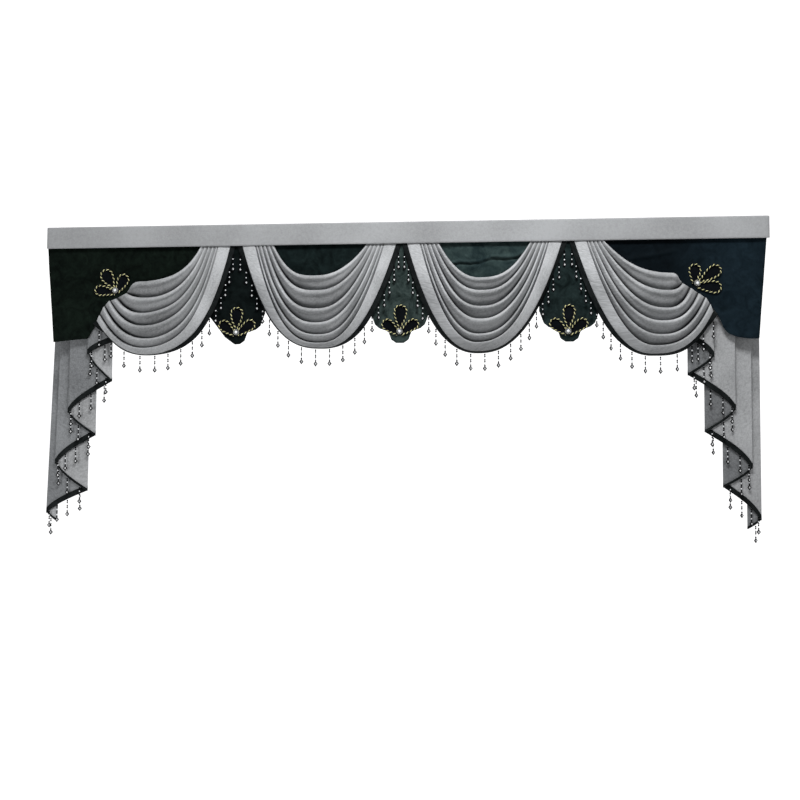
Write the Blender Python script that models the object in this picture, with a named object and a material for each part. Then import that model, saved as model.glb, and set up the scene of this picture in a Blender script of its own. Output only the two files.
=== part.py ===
"""Swag valance curtain: four swags, two cascade tails and three pendants under one heading band.

Frame: X runs along the heading as seen from the front, the front faces -Y, Z is up.
The origin is the middle of the heading band's top edge, on its back face. Sizes are in metres.
Cloth is made as closed sheets of even thickness, each on the middle surface of its real folds.
"""
import math
from collections import namedtuple

import bmesh
import bpy
import numpy as np
from mathutils import Vector

# Heading and the order in which the cloth is stacked behind it
WIDTH = 3.0
BAND_HEIGHT = 0.088
BAND_THICKNESS = 0.003
GAP = 0.0004
TUCK_Z = -0.062
SEAM_Z = -0.090
SWAG_CLOTH = 0.002
PANEL_CLOTH = 0.002
TAIL_CLOTH = 0.0012
PATCH_CLOTH = 0.0015
PINNED_FOLD_DEPTH = 0.0056
SWAG_BASE = GAP + PINNED_FOLD_DEPTH + SWAG_CLOTH / 2
PENDANT_FRONT = SWAG_BASE + SWAG_CLOTH / 2 + GAP
PANEL_FRONT = PENDANT_FRONT + PANEL_CLOTH + GAP
TAIL_BASE = PANEL_FRONT + PANEL_CLOTH + GAP + TAIL_CLOTH / 2
GATHER_BASE = PANEL_FRONT - GAP - SWAG_CLOTH / 2

# Swags: each fold has a lip in front, a face that falls back, and a crevice above the next lip
FOLD_SHARE = (0.0, 0.13, 0.26, 0.39, 0.52, 0.60, 1.0)
BELLY = (0.012, 0.022, 0.030, 0.034, 0.034, 0.028, 0.018)
FOLD_DEPTH_SHARE = 0.45
FOLD_DEPTH_LEAST = 0.005
FOLD_DEPTH_MOST = 0.028
FORWARD_POWER = 2.4
STRAND_PITCH = 0.056
SIDE_LENGTH_WIDTH_SHARE = 0.45
CURVE_STEPS = 60

# Rows across a swag: place counts folds from the inner edge, height is 1 on a lip, 0 in a crevice
SwagRow = namedtuple("SwagRow", "place height")
SWAG_ROWS = [SwagRow(-0.06, 0.0)]
for fold_number in range(5):
    SWAG_ROWS.append(SwagRow(fold_number, 1.0))
    SWAG_ROWS.append(SwagRow(fold_number + 0.92, 0.0))
SWAG_ROWS.extend([SwagRow(5, 1.0), SwagRow(5.5, 0.9), SwagRow(6, 0.5)])

# One side of a swag: where its seven lines end, the power of their curve, and how it is held
SwagSide = namedtuple("SwagSide", "ends power pinned base")


def pinned_side(inner_x, outer_x, power):
    """A side whose folds are sewn on behind the band, spread from the inner to the outer edge."""
    ends = [(inner_x + (outer_x - inner_x) * share, SEAM_Z) for share in FOLD_SHARE]
    return SwagSide(ends, power, True, SWAG_BASE)


def gathered_side(ends, power):
    """A side whose folds are drawn together on an end panel, below a rope flower."""
    return SwagSide(ends, power, False, GATHER_BASE)


GATHER_LEFT = [(-1.126, -0.240), (-1.155, -0.276), (-1.204, -0.307), (-1.231, -0.315),
               (-1.254, -0.340), (-1.274, -0.378), (-1.283, -0.398)]
GATHER_RIGHT = [(1.136, -0.243), (1.155, -0.262), (1.190, -0.290), (1.222, -0.312),
                (1.249, -0.330), (1.267, -0.358), (1.276, -0.384)]

# low_z holds the lowest height of the six lips and of the hem; lean is the trim's turn backwards
Swag = namedtuple("Swag", "number left right low_x_inner low_x_hem low_z lean_left lean_right")
SWAGS = [
    Swag(1, gathered_side(GATHER_LEFT, 2.2), pinned_side(-0.835, -0.711, 2.9), -1.105, -1.055,
         (-0.243, -0.307, -0.366, -0.421, -0.475, -0.515, -0.545), 50, 25),
    Swag(2, pinned_side(-0.527, -0.657, 2.7), pinned_side(-0.132, -0.011, 2.3), -0.346, -0.315,
         (-0.222, -0.280, -0.357, -0.414, -0.466, -0.500, -0.522), 50, 15),
    Swag(3, pinned_side(0.164, 0.036, 2.3), pinned_side(0.545, 0.671, 2.4), 0.345, 0.327,
         (-0.238, -0.284, -0.349, -0.403, -0.470, -0.509, -0.541), 15, 30),
    Swag(4, pinned_side(0.840, 0.723, 2.2), gathered_side(GATHER_RIGHT, 2.7), 1.105, 1.030,
         (-0.240, -0.290, -0.357, -0.414, -0.468, -0.517, -0.556), 25, 50),
]

# Velvet trim with its bead strands
TRIM_WIDTH = 0.020
LEAN_BOTTOM = 70
LEAN_HELD_RUN = 0.3
LEAN_START = 0.55
LEAN_RUN = 0.35
STRAND_HALF = 0.0015
STRAND_ROOT_MOST = 0.3
STRAND_FORWARD = 0.0025
StrandSection = namedtuple("StrandSection", "drop half_width half_depth")
STRAND_SECTIONS = [StrandSection(0.054, 0.0015, 0.0012), StrandSection(0.064, 0.0065, 0.0035)]
STRAND_LENGTH = 0.073

# Tails: a fold for each end of a layer, with its place on the hem and its strands to the next fold
TailFold = namedtuple("TailFold", "x z strands")
Tail = namedtuple("Tail", "side flare folds")
TAILS = [
    Tail("left", 0.13, [
        TailFold(-1.213, -0.484, 2), TailFold(-1.326, -0.538, 3), TailFold(-1.226, -0.654, 4),
        TailFold(-1.414, -0.786, 3), TailFold(-1.303, -0.883, 4), TailFold(-1.475, -1.003, 3),
        TailFold(-1.341, -1.118, 4), TailFold(-1.518, -1.213, 1), TailFold(-1.475, -1.251, 0),
    ]),
    Tail("right", 0.0, [
        TailFold(1.186, -0.494, 2), TailFold(1.278, -0.566, 3), TailFold(1.180, -0.641, 4),
        TailFold(1.364, -0.782, 3), TailFold(1.249, -0.872, 4), TailFold(1.432, -1.019, 3),
        TailFold(1.323, -1.096, 4), TailFold(1.469, -1.229, 1), TailFold(1.417, -1.266, 0),
    ]),
]
TAIL_TRIM_HEIGHT = 0.025
TAIL_ROW_SHARES = (0.0, 0.33, 0.66, 1.0)
TAIL_OPEN_FROM = -0.100
TAIL_OPEN_TO = -0.480
FOLD_GAP_TOP = 0.0026
FOLD_GAP_LOW = 0.0045
FOLD_SLANT_TOP = 0.0008
FOLD_SLANT_LOW = 0.0040
TAIL_WAVE = 0.004
TAIL_WAVE_LENGTH = 0.19

# Pendants and flat velvet panels
PENDANT_CENTRES = (-0.684, 0.005, 0.700)
PENDANT_HALF = [(0.122, -0.375), (0.104, -0.424), (0.085, -0.440), (0.048, -0.453),
                (0.036, -0.487), (0.016, -0.501)]
PENDANT_PLAIN_HALF = [(0.122, -0.373), (0.078, -0.431), (0.048, -0.471), (0.006, -0.502)]
PANEL_BOTTOM_Z = -0.300
PANEL_LEFT_EDGE = [(-1.100, -0.300), (-1.230, -0.340), (-1.284, -0.403), (-1.323, -0.472),
                   (-1.473, -0.486), (-1.482, -0.307), (-1.499, TUCK_Z)]
PANEL_RIGHT_EDGE = [(1.100, -0.300), (1.230, -0.335), (1.283, -0.376), (1.305, -0.416),
                    (1.315, -0.445), (1.337, -0.473), (1.376, -0.488), (1.420, -0.494),
                    (1.456, -0.494), (1.495, TUCK_Z)]

# Rope flowers: base is the crystal's centre, petals hold a rise over +X in degrees and a length
ROPE_RADIUS = 0.0035
ROPE_TURN = math.radians(45)
PETAL_ROOT = 0.022
PETAL_ROOT_HALF = 0.0040
PATCH_LOW_RADIUS = 0.018
PATCH_LOW_TURNS = (80, 150, 220)
PETAL_HALF_WIDTH = 0.021
PETAL_ARC_POINTS = 7
CRYSTAL_RADIUS = 0.012
CRYSTAL_TABLE_RADIUS = 0.007
CRYSTAL_DEPTH = 0.009
CRYSTAL_SIDES = 8
Flower = namedtuple("Flower", "name x z back petals")
FLOWERS = [
    Flower("end_left", -1.205, -0.269, PANEL_FRONT, ((179, 0.088), (123, 0.103), (60, 0.086))),
    Flower("pendant_left", -0.683, -0.452, PENDANT_FRONT, ((136, 0.086), (88, 0.106), (34, 0.087))),
    Flower("pendant_mid", 0.004, -0.454, PENDANT_FRONT, ((137, 0.083), (88, 0.109), (36, 0.084))),
    Flower("pendant_right", 0.695, -0.459, PENDANT_FRONT, ((144, 0.088), (92, 0.108), (40, 0.085))),
    Flower("end_right", 1.215, -0.268, PANEL_FRONT, ((98, 0.076), (36, 0.099), (-14, 0.090))),
]


def make_material(name, colour, roughness, metallic=0.0, sheen=0.0):
    """A Principled material with one plain colour."""
    material = bpy.data.materials.new(name)
    material.use_nodes = True
    shader = material.node_tree.nodes["Principled BSDF"]
    shader.inputs["Base Color"].default_value = (*colour, 1.0)
    shader.inputs["Roughness"].default_value = roughness
    shader.inputs["Metallic"].default_value = metallic
    shader.inputs["Sheen Weight"].default_value = sheen
    material.diffuse_color = (*colour, 1.0)
    return material


def add_object(name, bm, material):
    """Close the modelling of one piece and put it in the scene."""
    bmesh.ops.triangulate(bm, faces=bm.faces[:], quad_method="FIXED")
    bmesh.ops.recalc_face_normals(bm, faces=bm.faces[:])
    mesh = bpy.data.meshes.new(name)
    bm.to_mesh(mesh)
    bm.free()
    mesh.materials.append(material)
    piece = bpy.data.objects.new(name, mesh)
    piece.parent = valance
    bpy.context.scene.collection.objects.link(piece)
    return piece


def unit(vectors):
    """The same vectors at length 1."""
    return vectors / np.linalg.norm(vectors, axis=-1, keepdims=True)


def ease(value):
    """Rise from 0 to 1, flat at both ends."""
    value = min(max(value, 0.0), 1.0)
    return value * value * (3.0 - 2.0 * value)


def run_of_cloth(middle, axis):
    """Direction of the cloth at each point: the mean of the runs on its two sides."""
    runs = unit(np.diff(middle, axis=axis))
    before = np.concatenate([np.take(runs, [0], axis), runs], axis)
    after = np.concatenate([runs, np.take(runs, [-1], axis)], axis)
    return unit(before + after)


def both_sides(middle, thickness):
    """The two faces of a sheet from its middle surface, a grid of rows and columns."""
    normal = unit(np.cross(run_of_cloth(middle, 0), run_of_cloth(middle, 1)))
    return middle + normal * thickness / 2, middle - normal * thickness / 2


def add_quads(bm, first, second):
    """Join two rows of vertices with quads."""
    for i in range(len(first) - 1):
        bm.faces.new((first[i], first[i + 1], second[i + 1], second[i]))


def cloth_sheet(name, middle, thickness, material):
    """A closed sheet of even thickness on a middle surface."""
    bm = bmesh.new()
    sides = [[[bm.verts.new(point) for point in row] for row in side]
             for side in both_sides(middle, thickness)]
    for side in sides:
        for row, next_row in zip(side, side[1:]):
            add_quads(bm, row, next_row)
    for row in (0, -1):
        add_quads(bm, sides[0][row], sides[1][row])
    for column in (0, -1):
        add_quads(bm, [row[column] for row in sides[0]], [row[column] for row in sides[1]])
    return add_object(name, bm, material)


def flat_piece(name, outline, front_y, thickness, material):
    """A flat piece of cloth cut to an outline of x and z."""
    bm = bmesh.new()
    front = bm.faces.new([bm.verts.new((x, front_y, z)) for x, z in outline])
    extruded = bmesh.ops.extrude_face_region(bm, geom=[front])["geom"]
    back = [item for item in extruded if isinstance(item, bmesh.types.BMVert)]
    bmesh.ops.translate(bm, verts=back, vec=(0.0, thickness, 0.0))
    return add_object(name, bm, material)


def hang_strand(bm, root, along, side):
    """Hang a bead strand from the four corners of its root on the trim's edge."""
    middle = sum((corner.co for corner in root), Vector()) / len(root)
    middle.y -= STRAND_FORWARD
    ring = root
    for section in STRAND_SECTIONS:
        centre = middle - Vector((0.0, 0.0, section.drop))
        across = along * section.half_width
        forward = side * section.half_depth
        corners = (centre - across + forward, centre + across + forward,
                   centre + across - forward, centre - across - forward)
        next_ring = [bm.verts.new(corner) for corner in corners]
        add_quads(bm, ring + ring[:1], next_ring + next_ring[:1])
        ring = next_ring
    tip = bm.verts.new(middle - Vector((0.0, 0.0, STRAND_LENGTH)))
    for i in range(len(ring)):
        bm.faces.new((ring[i - 1], ring[i], tip))


def fringed_trim(name, front, back, bare, material):
    """A velvet strip between an inner and an outer row, with a strand on each run not bare."""
    bm = bmesh.new()
    rows = [[bm.verts.new(point) for point in row] for row in (*front, *back)]
    front_in, front_out, back_in, back_out = rows
    for i in range(len(front_in) - 1):
        j = i + 1
        bm.faces.new((front_in[i], front_in[j], back_in[j], back_in[i]))
        if i in bare:
            bm.faces.new((front_in[i], front_out[i], front_out[j], front_in[j]))
            bm.faces.new((back_in[i], back_out[i], back_out[j], back_in[j]))
            bm.faces.new((front_out[i], front_out[j], back_out[j], back_out[i]))
            continue
        run = front_out[j].co - front_out[i].co
        along = Vector((run.x, run.y, 0.0))
        half = min(STRAND_HALF / along.length, STRAND_ROOT_MOST)
        along.normalize()
        roots = []
        for inner, outer in ((front_in, front_out), (back_in, back_out)):
            start = bm.verts.new(outer[i].co.lerp(outer[j].co, 0.5 - half))
            end = bm.verts.new(outer[i].co.lerp(outer[j].co, 0.5 + half))
            bm.faces.new((inner[i], start, outer[i]))
            bm.faces.new((inner[i], inner[j], end, start))
            bm.faces.new((inner[j], outer[j], end))
            roots.append((start, end))
        (front_start, front_end), (back_start, back_end) = roots
        bm.faces.new((front_out[i], front_start, back_start, back_out[i]))
        bm.faces.new((front_end, front_out[j], back_out[j], back_end))
        side = front_start.co - back_start.co + front_end.co - back_end.co
        side.z = 0.0
        side -= along * side.dot(along)
        side.normalize()
        hang_strand(bm, [front_start, front_end, back_end, back_start], along, side)
    for end in (0, -1):
        bm.faces.new((front_in[end], front_out[end], back_out[end], back_in[end]))
    return add_object(name, bm, material)


def half_line(side, line, low, runs):
    """One half of a swag's line, from its held end down to its lowest point."""
    end_x, end_z = side.ends[line]
    share = np.linspace(1.0, 0.0, CURVE_STEPS + 1)
    x = low[0] + (end_x - low[0]) * share
    z = low[1] + (end_z - low[1]) * share ** side.power
    run = np.concatenate([[0.0], np.cumsum(np.hypot(np.diff(x), np.diff(z)))])
    steps = np.linspace(0.0, run[-1], runs + 1)
    points = np.column_stack([np.interp(steps, run, x), np.interp(steps, run, z)])
    if side.pinned:
        points = np.vstack([[end_x, TUCK_Z], points])
    return points


def runs_of_side(swag, side):
    """How many strands hang on one side of a swag, one for each run of its hem."""
    low = Vector((swag.low_x_hem, swag.low_z[-1]))
    end = Vector(side.ends[-1])
    drop = abs(end.y - low.y)
    width = abs(end.x - low.x)
    return round((drop + SIDE_LENGTH_WIDTH_SHARE * width) / STRAND_PITCH)


def swag_lines(swag):
    """The seven lines of a swag, with how far along each point lies and the base that holds it."""
    counts = [runs_of_side(swag, side) for side in (swag.left, swag.right)]
    lines = []
    for line, low_z in enumerate(swag.low_z):
        share = line / (len(swag.low_z) - 1)
        low = (swag.low_x_inner + (swag.low_x_hem - swag.low_x_inner) * share, low_z)
        left, right = (half_line(side, line, low, runs)
                       for side, runs in zip((swag.left, swag.right), counts))
        lines.append(np.vstack([left, right[::-1][1:]]))
    along = []
    base = []
    for side, runs in zip((swag.left, swag.right), counts):
        shares = [0.0] * side.pinned + list(np.linspace(0.0, 1.0, runs + 1))
        along.append(shares)
        base.append([side.base] * len(shares))
    return (np.array(lines), np.array(along[0] + along[1][::-1][1:]),
            np.array(base[0] + base[1][::-1][1:]))


def swag_middle(swag):
    """Middle surface of a swag: rows run along the folds, columns across them."""
    lines, along, base = swag_lines(swag)
    forward = 1.0 - (1.0 - along) ** FORWARD_POWER
    belly_places = np.arange(len(BELLY))
    rows = []
    for place, height in SWAG_ROWS:
        fold = min(max(math.floor(place), 0), len(lines) - 2)
        pitch = lines[fold + 1] - lines[fold]
        points = lines[fold] + pitch * (place - fold)
        depth = np.linalg.norm(pitch, axis=1) * FOLD_DEPTH_SHARE
        depth = np.clip(depth, FOLD_DEPTH_LEAST, FOLD_DEPTH_MOST)
        depth = PINNED_FOLD_DEPTH + (depth - PINNED_FOLD_DEPTH) * forward
        belly = -np.interp(place, belly_places, BELLY)
        y = base + (belly - base) * forward - depth * height
        rows.append(np.column_stack([points[:, 0], y, points[:, 1]]))
    return np.array(rows), along


def trim_of_swag(swag, middle, along):
    """Front and back rows of a swag's trim, turned backwards more and more towards the bottom."""
    hem = both_sides(middle, SWAG_CLOTH)[0][-1]
    run = run_of_cloth(hem[:, [0, 2]], 0)
    outward = np.column_stack([run[:, 1], np.zeros(len(run)), -run[:, 0]])
    backward = np.array([0.0, 1.0, 0.0])
    lowest = int(np.argmin(hem[:, 2]))
    leans = []
    for i, share in enumerate(along):
        side_lean = swag.lean_left if i < lowest else swag.lean_right
        held = side_lean * min(share / LEAN_HELD_RUN, 1.0)
        leans.append(held + (LEAN_BOTTOM - held) * ease((share - LEAN_START) / LEAN_RUN))
    cosine = np.cos(np.radians(leans))[:, None]
    sine = np.sin(np.radians(leans))[:, None]
    inner = hem + outward * GAP
    outer = inner + (outward * cosine + backward * sine) * TRIM_WIDTH
    inner_back = inner + backward * SWAG_CLOTH / cosine
    outer_back = outer + (backward * cosine - outward * sine) * SWAG_CLOTH
    return (inner, outer), (inner_back, outer_back)


def build_swag(swag):
    """A swag and its fringed trim."""
    middle, along = swag_middle(swag)
    cloth_sheet(f"swag_{swag.number}", middle, SWAG_CLOTH, chenille)
    front, back = trim_of_swag(swag, middle, along)
    bare = [0] * swag.left.pinned + [len(along) - 2] * swag.right.pinned
    fringed_trim(f"swag_trim_{swag.number}", front, back, bare, trim_velvet)


def tail_columns(folds):
    """Columns of a tail from the front layer to the back one: hem place and place in the stack."""
    columns = []
    bare = []
    for layer, (start, end) in enumerate(zip(folds, folds[1:])):
        for step in range(start.strands + 1):
            share = step / start.strands
            columns.append((start.x + (end.x - start.x) * share,
                            start.z + (end.z - start.z) * share, layer, share))
        bare.append(len(columns) - 1)
    return columns, bare[:-1]


def tail_point(tail, column, z):
    """A point on a tail's middle surface, on one column at height z."""
    hem_x, hem_z, layer, share = column
    root_x = tail.folds[0].x
    lowest = tail.folds[-1].z
    spread = (1.0 - tail.flare * (z - lowest)) / (1.0 - tail.flare * (hem_z - lowest))
    x = root_x + (hem_x - root_x) * spread
    opening = min(max((z - TAIL_OPEN_FROM) / (TAIL_OPEN_TO - TAIL_OPEN_FROM), 0.0), 1.0)
    gap = FOLD_GAP_TOP + (FOLD_GAP_LOW - FOLD_GAP_TOP) * opening
    slant = FOLD_SLANT_TOP + (FOLD_SLANT_LOW - FOLD_SLANT_TOP) * opening
    wave = TAIL_WAVE * opening * (1.0 - math.cos(2 * math.pi * (x - root_x) / TAIL_WAVE_LENGTH)) / 2
    return (x, TAIL_BASE + layer * (gap + slant) + share * slant + wave, z)


def build_tail(tail):
    """A tail folded back and forth in eight layers, and its fringed trim along the zigzag hem."""
    columns, bare = tail_columns(tail.folds)
    rows = [[tail_point(tail, column, TUCK_Z) for column in columns]]
    for share in TAIL_ROW_SHARES:
        rows.append([tail_point(tail, column, TAIL_OPEN_FROM * (1.0 - share)
                                + (column[1] + TAIL_TRIM_HEIGHT) * share) for column in columns])
    cloth_sheet(f"tail_{tail.side}", np.array(rows), TAIL_CLOTH, chenille)
    heights = (TAIL_TRIM_HEIGHT - GAP, 0.0)
    trim = [[tail_point(tail, column, column[1] + height) for column in columns]
            for height in heights]
    front, back = both_sides(np.array(trim), TAIL_CLOTH)
    fringed_trim(f"tail_trim_{tail.side}", front, back, bare, trim_velvet)


def pendant_outline(centre, left_half, right_half):
    """Outline of a pendant from its two halves, given as distances from its centre line."""
    left = [(centre - left_half[0][0], TUCK_Z)] + [(centre - x, z) for x, z in left_half]
    right = [(centre + right_half[0][0], TUCK_Z)] + [(centre + x, z) for x, z in right_half]
    return left + right[::-1]


def build_panels():
    """Four flat velvet panels behind the swags, with their seams behind the pendants."""
    first, middle, last = PENDANT_CENTRES
    left = [(first - GAP, TUCK_Z), (first - GAP, PANEL_BOTTOM_Z)] + PANEL_LEFT_EDGE
    right = [(last + GAP, TUCK_Z), (last + GAP, PANEL_BOTTOM_Z)] + PANEL_RIGHT_EDGE
    flat_piece("panel_left", left, PANEL_FRONT, PANEL_CLOTH, velvet)
    flat_piece("panel_right", right, PANEL_FRONT, PANEL_CLOTH, velvet)
    for name, start, end in (("panel_mid_left", first, middle), ("panel_mid_right", middle, last)):
        outline = [(start, TUCK_Z), (start, PANEL_BOTTOM_Z),
                   (end - GAP, PANEL_BOTTOM_Z), (end - GAP, TUCK_Z)]
        flat_piece(name, outline, PANEL_FRONT, PANEL_CLOTH, velvet)


def petal_points(rise, length):
    """Centre line of one petal: a straight leg, a round tip and the other leg."""
    axis = Vector((math.cos(math.radians(rise)), math.sin(math.radians(rise))))
    across = Vector((axis.y, -axis.x))
    tip_centre = length - PETAL_HALF_WIDTH
    points = [axis * PETAL_ROOT - across * PETAL_ROOT_HALF]
    middle_leg = (PETAL_ROOT + tip_centre) / 2
    leg_half = (PETAL_ROOT_HALF + PETAL_HALF_WIDTH) / 2
    points.append(axis * middle_leg - across * leg_half)
    for i in range(PETAL_ARC_POINTS):
        angle = math.pi * i / (PETAL_ARC_POINTS - 1)
        reach = tip_centre + PETAL_HALF_WIDTH * math.sin(angle)
        points.append(axis * reach - across * PETAL_HALF_WIDTH * math.cos(angle))
    points.append(axis * middle_leg + across * leg_half)
    points.append(axis * PETAL_ROOT + across * PETAL_ROOT_HALF)
    return points


def rope_line(petals):
    """Centre line of a flower's rope, petal after petal, with a short turn between two petals."""
    points = []
    for i, (rise, length) in enumerate(petals):
        points += petal_points(rise, length)
        if i + 1 < len(petals):
            between = math.radians((rise + petals[i + 1][0]) / 2)
            turn = PETAL_ROOT - PETAL_ROOT_HALF
            points.append(Vector((math.cos(between), math.sin(between))) * turn)
    return points


def build_rope(flower, line, depth):
    """The twisted rope of a flower, a square tube that turns with its strands."""
    curve = bpy.data.curves.new(f"flower_rope_{flower.name}", "CURVE")
    curve.dimensions = "3D"
    curve.bevel_depth = ROPE_RADIUS
    curve.bevel_resolution = 0
    curve.use_fill_caps = True
    curve.materials.append(rope)
    spline = curve.splines.new("POLY")
    spline.points.add(len(line) - 1)
    for i, (point, place) in enumerate(zip(spline.points, line)):
        point.co = (place.x, depth, place.y, 1.0)
        point.tilt = i * ROPE_TURN
    piece = bpy.data.objects.new(curve.name, curve)
    piece.location = (flower.x, 0.0, flower.z)
    piece.parent = valance
    bpy.context.scene.collection.objects.link(piece)


def build_flower(flower):
    """A rope flower: a flat backing patch, the rope in three petals and a crystal at their root."""
    line = rope_line(flower.petals)
    patch_front = flower.back - GAP - PATCH_CLOTH
    low_angles = [math.radians(flower.petals[-1][0] - turn) for turn in PATCH_LOW_TURNS]
    low = [Vector((math.cos(angle), math.sin(angle))) * PATCH_LOW_RADIUS for angle in low_angles]
    outline = [(point.x, point.y) for point in line + low]
    patch = flat_piece(f"flower_patch_{flower.name}", outline, patch_front, PATCH_CLOTH, velvet)
    patch.location = (flower.x, 0.0, flower.z)
    build_rope(flower, line, patch_front - GAP - ROPE_RADIUS)
    bm = bmesh.new()
    bmesh.ops.create_cone(bm, cap_ends=True, segments=CRYSTAL_SIDES, depth=CRYSTAL_DEPTH,
                          radius1=CRYSTAL_RADIUS, radius2=CRYSTAL_TABLE_RADIUS)
    crystal_piece = add_object(f"crystal_{flower.name}", bm, crystal)
    crystal_piece.rotation_euler = (math.radians(90), 0.0, 0.0)
    crystal_piece.location = (flower.x, patch_front - GAP - CRYSTAL_DEPTH / 2, flower.z)


for old in list(bpy.data.objects):
    bpy.data.objects.remove(old)
valance = bpy.data.objects.new("valance", None)
bpy.context.scene.collection.objects.link(valance)
chenille = make_material("grey_chenille", (0.36, 0.37, 0.38), 0.95, sheen=0.4)
velvet = make_material("green_velvet", (0.012, 0.030, 0.028), 0.9, sheen=0.6)
trim_velvet = make_material("trim_velvet", (0.012, 0.018, 0.017), 0.9, sheen=0.3)
rope = make_material("gold_rope", (0.45, 0.36, 0.12), 0.5)
crystal = make_material("crystal", (0.75, 0.76, 0.74), 0.08)

band_outline = [(-WIDTH / 2, -BAND_HEIGHT), (WIDTH / 2, -BAND_HEIGHT),
                (WIDTH / 2, 0.0), (-WIDTH / 2, 0.0)]
flat_piece("heading_band", band_outline, -BAND_THICKNESS, BAND_THICKNESS, chenille)
build_panels()
left_halves = (PENDANT_PLAIN_HALF, PENDANT_HALF, PENDANT_HALF)
for number, (centre, left_half) in enumerate(zip(PENDANT_CENTRES, left_halves), start=1):
    outline = pendant_outline(centre, left_half, PENDANT_HALF)
    flat_piece(f"pendant_{number}", outline, PENDANT_FRONT, PANEL_CLOTH, velvet)
for swag in SWAGS:
    build_swag(swag)
for tail in TAILS:
    build_tail(tail)
for flower in FLOWERS:
    build_flower(flower)
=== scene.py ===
import math
from collections import namedtuple

import bmesh
import bpy
import numpy as np
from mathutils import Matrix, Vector, noise


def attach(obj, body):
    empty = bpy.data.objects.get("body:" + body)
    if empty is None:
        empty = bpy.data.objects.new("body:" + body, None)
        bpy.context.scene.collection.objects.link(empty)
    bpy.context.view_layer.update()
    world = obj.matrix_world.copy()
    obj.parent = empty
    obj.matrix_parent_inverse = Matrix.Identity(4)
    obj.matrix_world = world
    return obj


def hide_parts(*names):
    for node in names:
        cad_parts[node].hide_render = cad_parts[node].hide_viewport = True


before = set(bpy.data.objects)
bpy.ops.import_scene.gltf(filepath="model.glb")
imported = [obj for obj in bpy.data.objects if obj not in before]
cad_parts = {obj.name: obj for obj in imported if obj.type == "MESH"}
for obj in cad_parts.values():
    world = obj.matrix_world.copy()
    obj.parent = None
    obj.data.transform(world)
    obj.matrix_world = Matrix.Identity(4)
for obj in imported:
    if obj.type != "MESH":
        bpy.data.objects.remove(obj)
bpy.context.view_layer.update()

# Room: a plain white studio floor that sweeps up into a white wall well behind the valance. The
# valance hangs at the height of a real window head, 2.4 m above that floor. The camera stands a
# little right of the middle and looks slightly up.


def add_object(name, data):
    """A new object in the scene."""
    made = bpy.data.objects.new(name, data)
    bpy.context.scene.collection.objects.link(made)
    return made


camera = add_object("camera", bpy.data.cameras.new("camera"))
camera.location = (0.381, -4.5, -0.928)
camera.rotation_euler = (math.radians(92.4015), 0.0, math.radians(4.763))
camera.data.lens = 49.357
camera.data.sensor_width = 36.0
bpy.context.scene.camera = camera
bpy.context.scene.view_settings.view_transform = "Standard"

FLOOR_Z = -2.4
WALL_Y = 8.0
WALL_TOP_Z = 9.0
SWEEP_RADIUS = 3.0
ROOM_HALF_WIDTH = 14.0
sweep = [(y, FLOOR_Z) for y in (-14.0, -6.0, 0.0, 4.0)]
sweep += [(WALL_Y - SWEEP_RADIUS + SWEEP_RADIUS * math.sin(a),
           FLOOR_Z + SWEEP_RADIUS - SWEEP_RADIUS * math.cos(a))
          for a in np.linspace(0.0, math.pi / 2, 24)]
sweep.append((WALL_Y, WALL_TOP_Z))
points = [(x, y, z) for y, z in sweep for x in (-ROOM_HALF_WIDTH, ROOM_HALF_WIDTH)]
faces = [(2 * i, 2 * i + 1, 2 * i + 3, 2 * i + 2) for i in range(len(sweep) - 1)]
room_mesh = bpy.data.meshes.new("studio_sweep")
room_mesh.from_pydata(points, [], faces)
room_mesh.shade_smooth()
room = add_object("studio_sweep", room_mesh)


def new_material(name, roughness, shine):
    """A material with its node tree and its Principled shader."""
    material = bpy.data.materials.new(name)
    material.use_nodes = True
    shader = material.node_tree.nodes["Principled BSDF"]
    shader.inputs["Roughness"].default_value = roughness
    shader.inputs["Specular IOR Level"].default_value = shine
    return material, material.node_tree, shader


def add_node(tree, kind, inputs=None, **settings):
    """A node with its settings. An input gets a value, or the output that is linked to it."""
    made = tree.nodes.new(kind)
    for key, value in settings.items():
        setattr(made, key, value)
    for key, value in (inputs or {}).items():
        if isinstance(value, bpy.types.NodeSocket):
            tree.links.new(value, made.inputs[key])
        else:
            made.inputs[key].default_value = value
    return made


room_paint, room_tree, room_shader = new_material("studio_white", 0.9, 0.1)
room_shader.inputs["Base Color"].default_value = (0.62, 0.62, 0.62, 1.0)
room_shader.inputs["Emission Strength"].default_value = 0.86
room_place = add_node(room_tree, "ShaderNodeTexCoord")
room_depth = add_node(room_tree, "ShaderNodeSeparateXYZ", {0: room_place.outputs["Object"]})
room_glow = add_node(room_tree, "ShaderNodeMapRange", {
    "Value": room_depth.outputs["Y"], "From Min": -1.3, "From Max": 0.3})
room_tree.links.new(room_glow.outputs["Result"], room_shader.inputs["Emission Color"])
room_mesh.materials.append(room_paint)

world = bpy.data.worlds.new("soft_sky")
bpy.context.scene.world = world
world.use_nodes = True
world.node_tree.nodes["Background"].inputs["Color"].default_value = (0.97, 0.98, 1.0, 1.0)
world.node_tree.nodes["Background"].inputs["Strength"].default_value = 0.17


def soft_light(name, place, aim, width, height, power):
    """A large soft lamp that looks from one point at another."""
    lamp = bpy.data.lights.new(name, "AREA")
    lamp.shape = "RECTANGLE"
    lamp.size = width
    lamp.size_y = height
    lamp.energy = power
    light = add_object(name, lamp)
    light.location = place
    light.rotation_euler = (Vector(aim) - Vector(place)).to_track_quat("-Z", "Y").to_euler()


soft_light("key_light", (0.5, -2.3, 2.4), (0.1, 0.0, -0.5), 1.2, 0.7, 108.0)
soft_light("top_light", (0.4, -1.2, 1.5), (0.1, 0.0, -0.2), 0.5, 0.3, 14.0)
soft_light("left_light", (-2.3, -1.2, -1.0), (-1.4, 0.0, -0.7), 0.5, 0.5, 10.0)
soft_light("right_light", (2.2, -1.7, -0.6), (1.4, 0.0, -0.7), 0.6, 0.6, 3.0)

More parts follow.
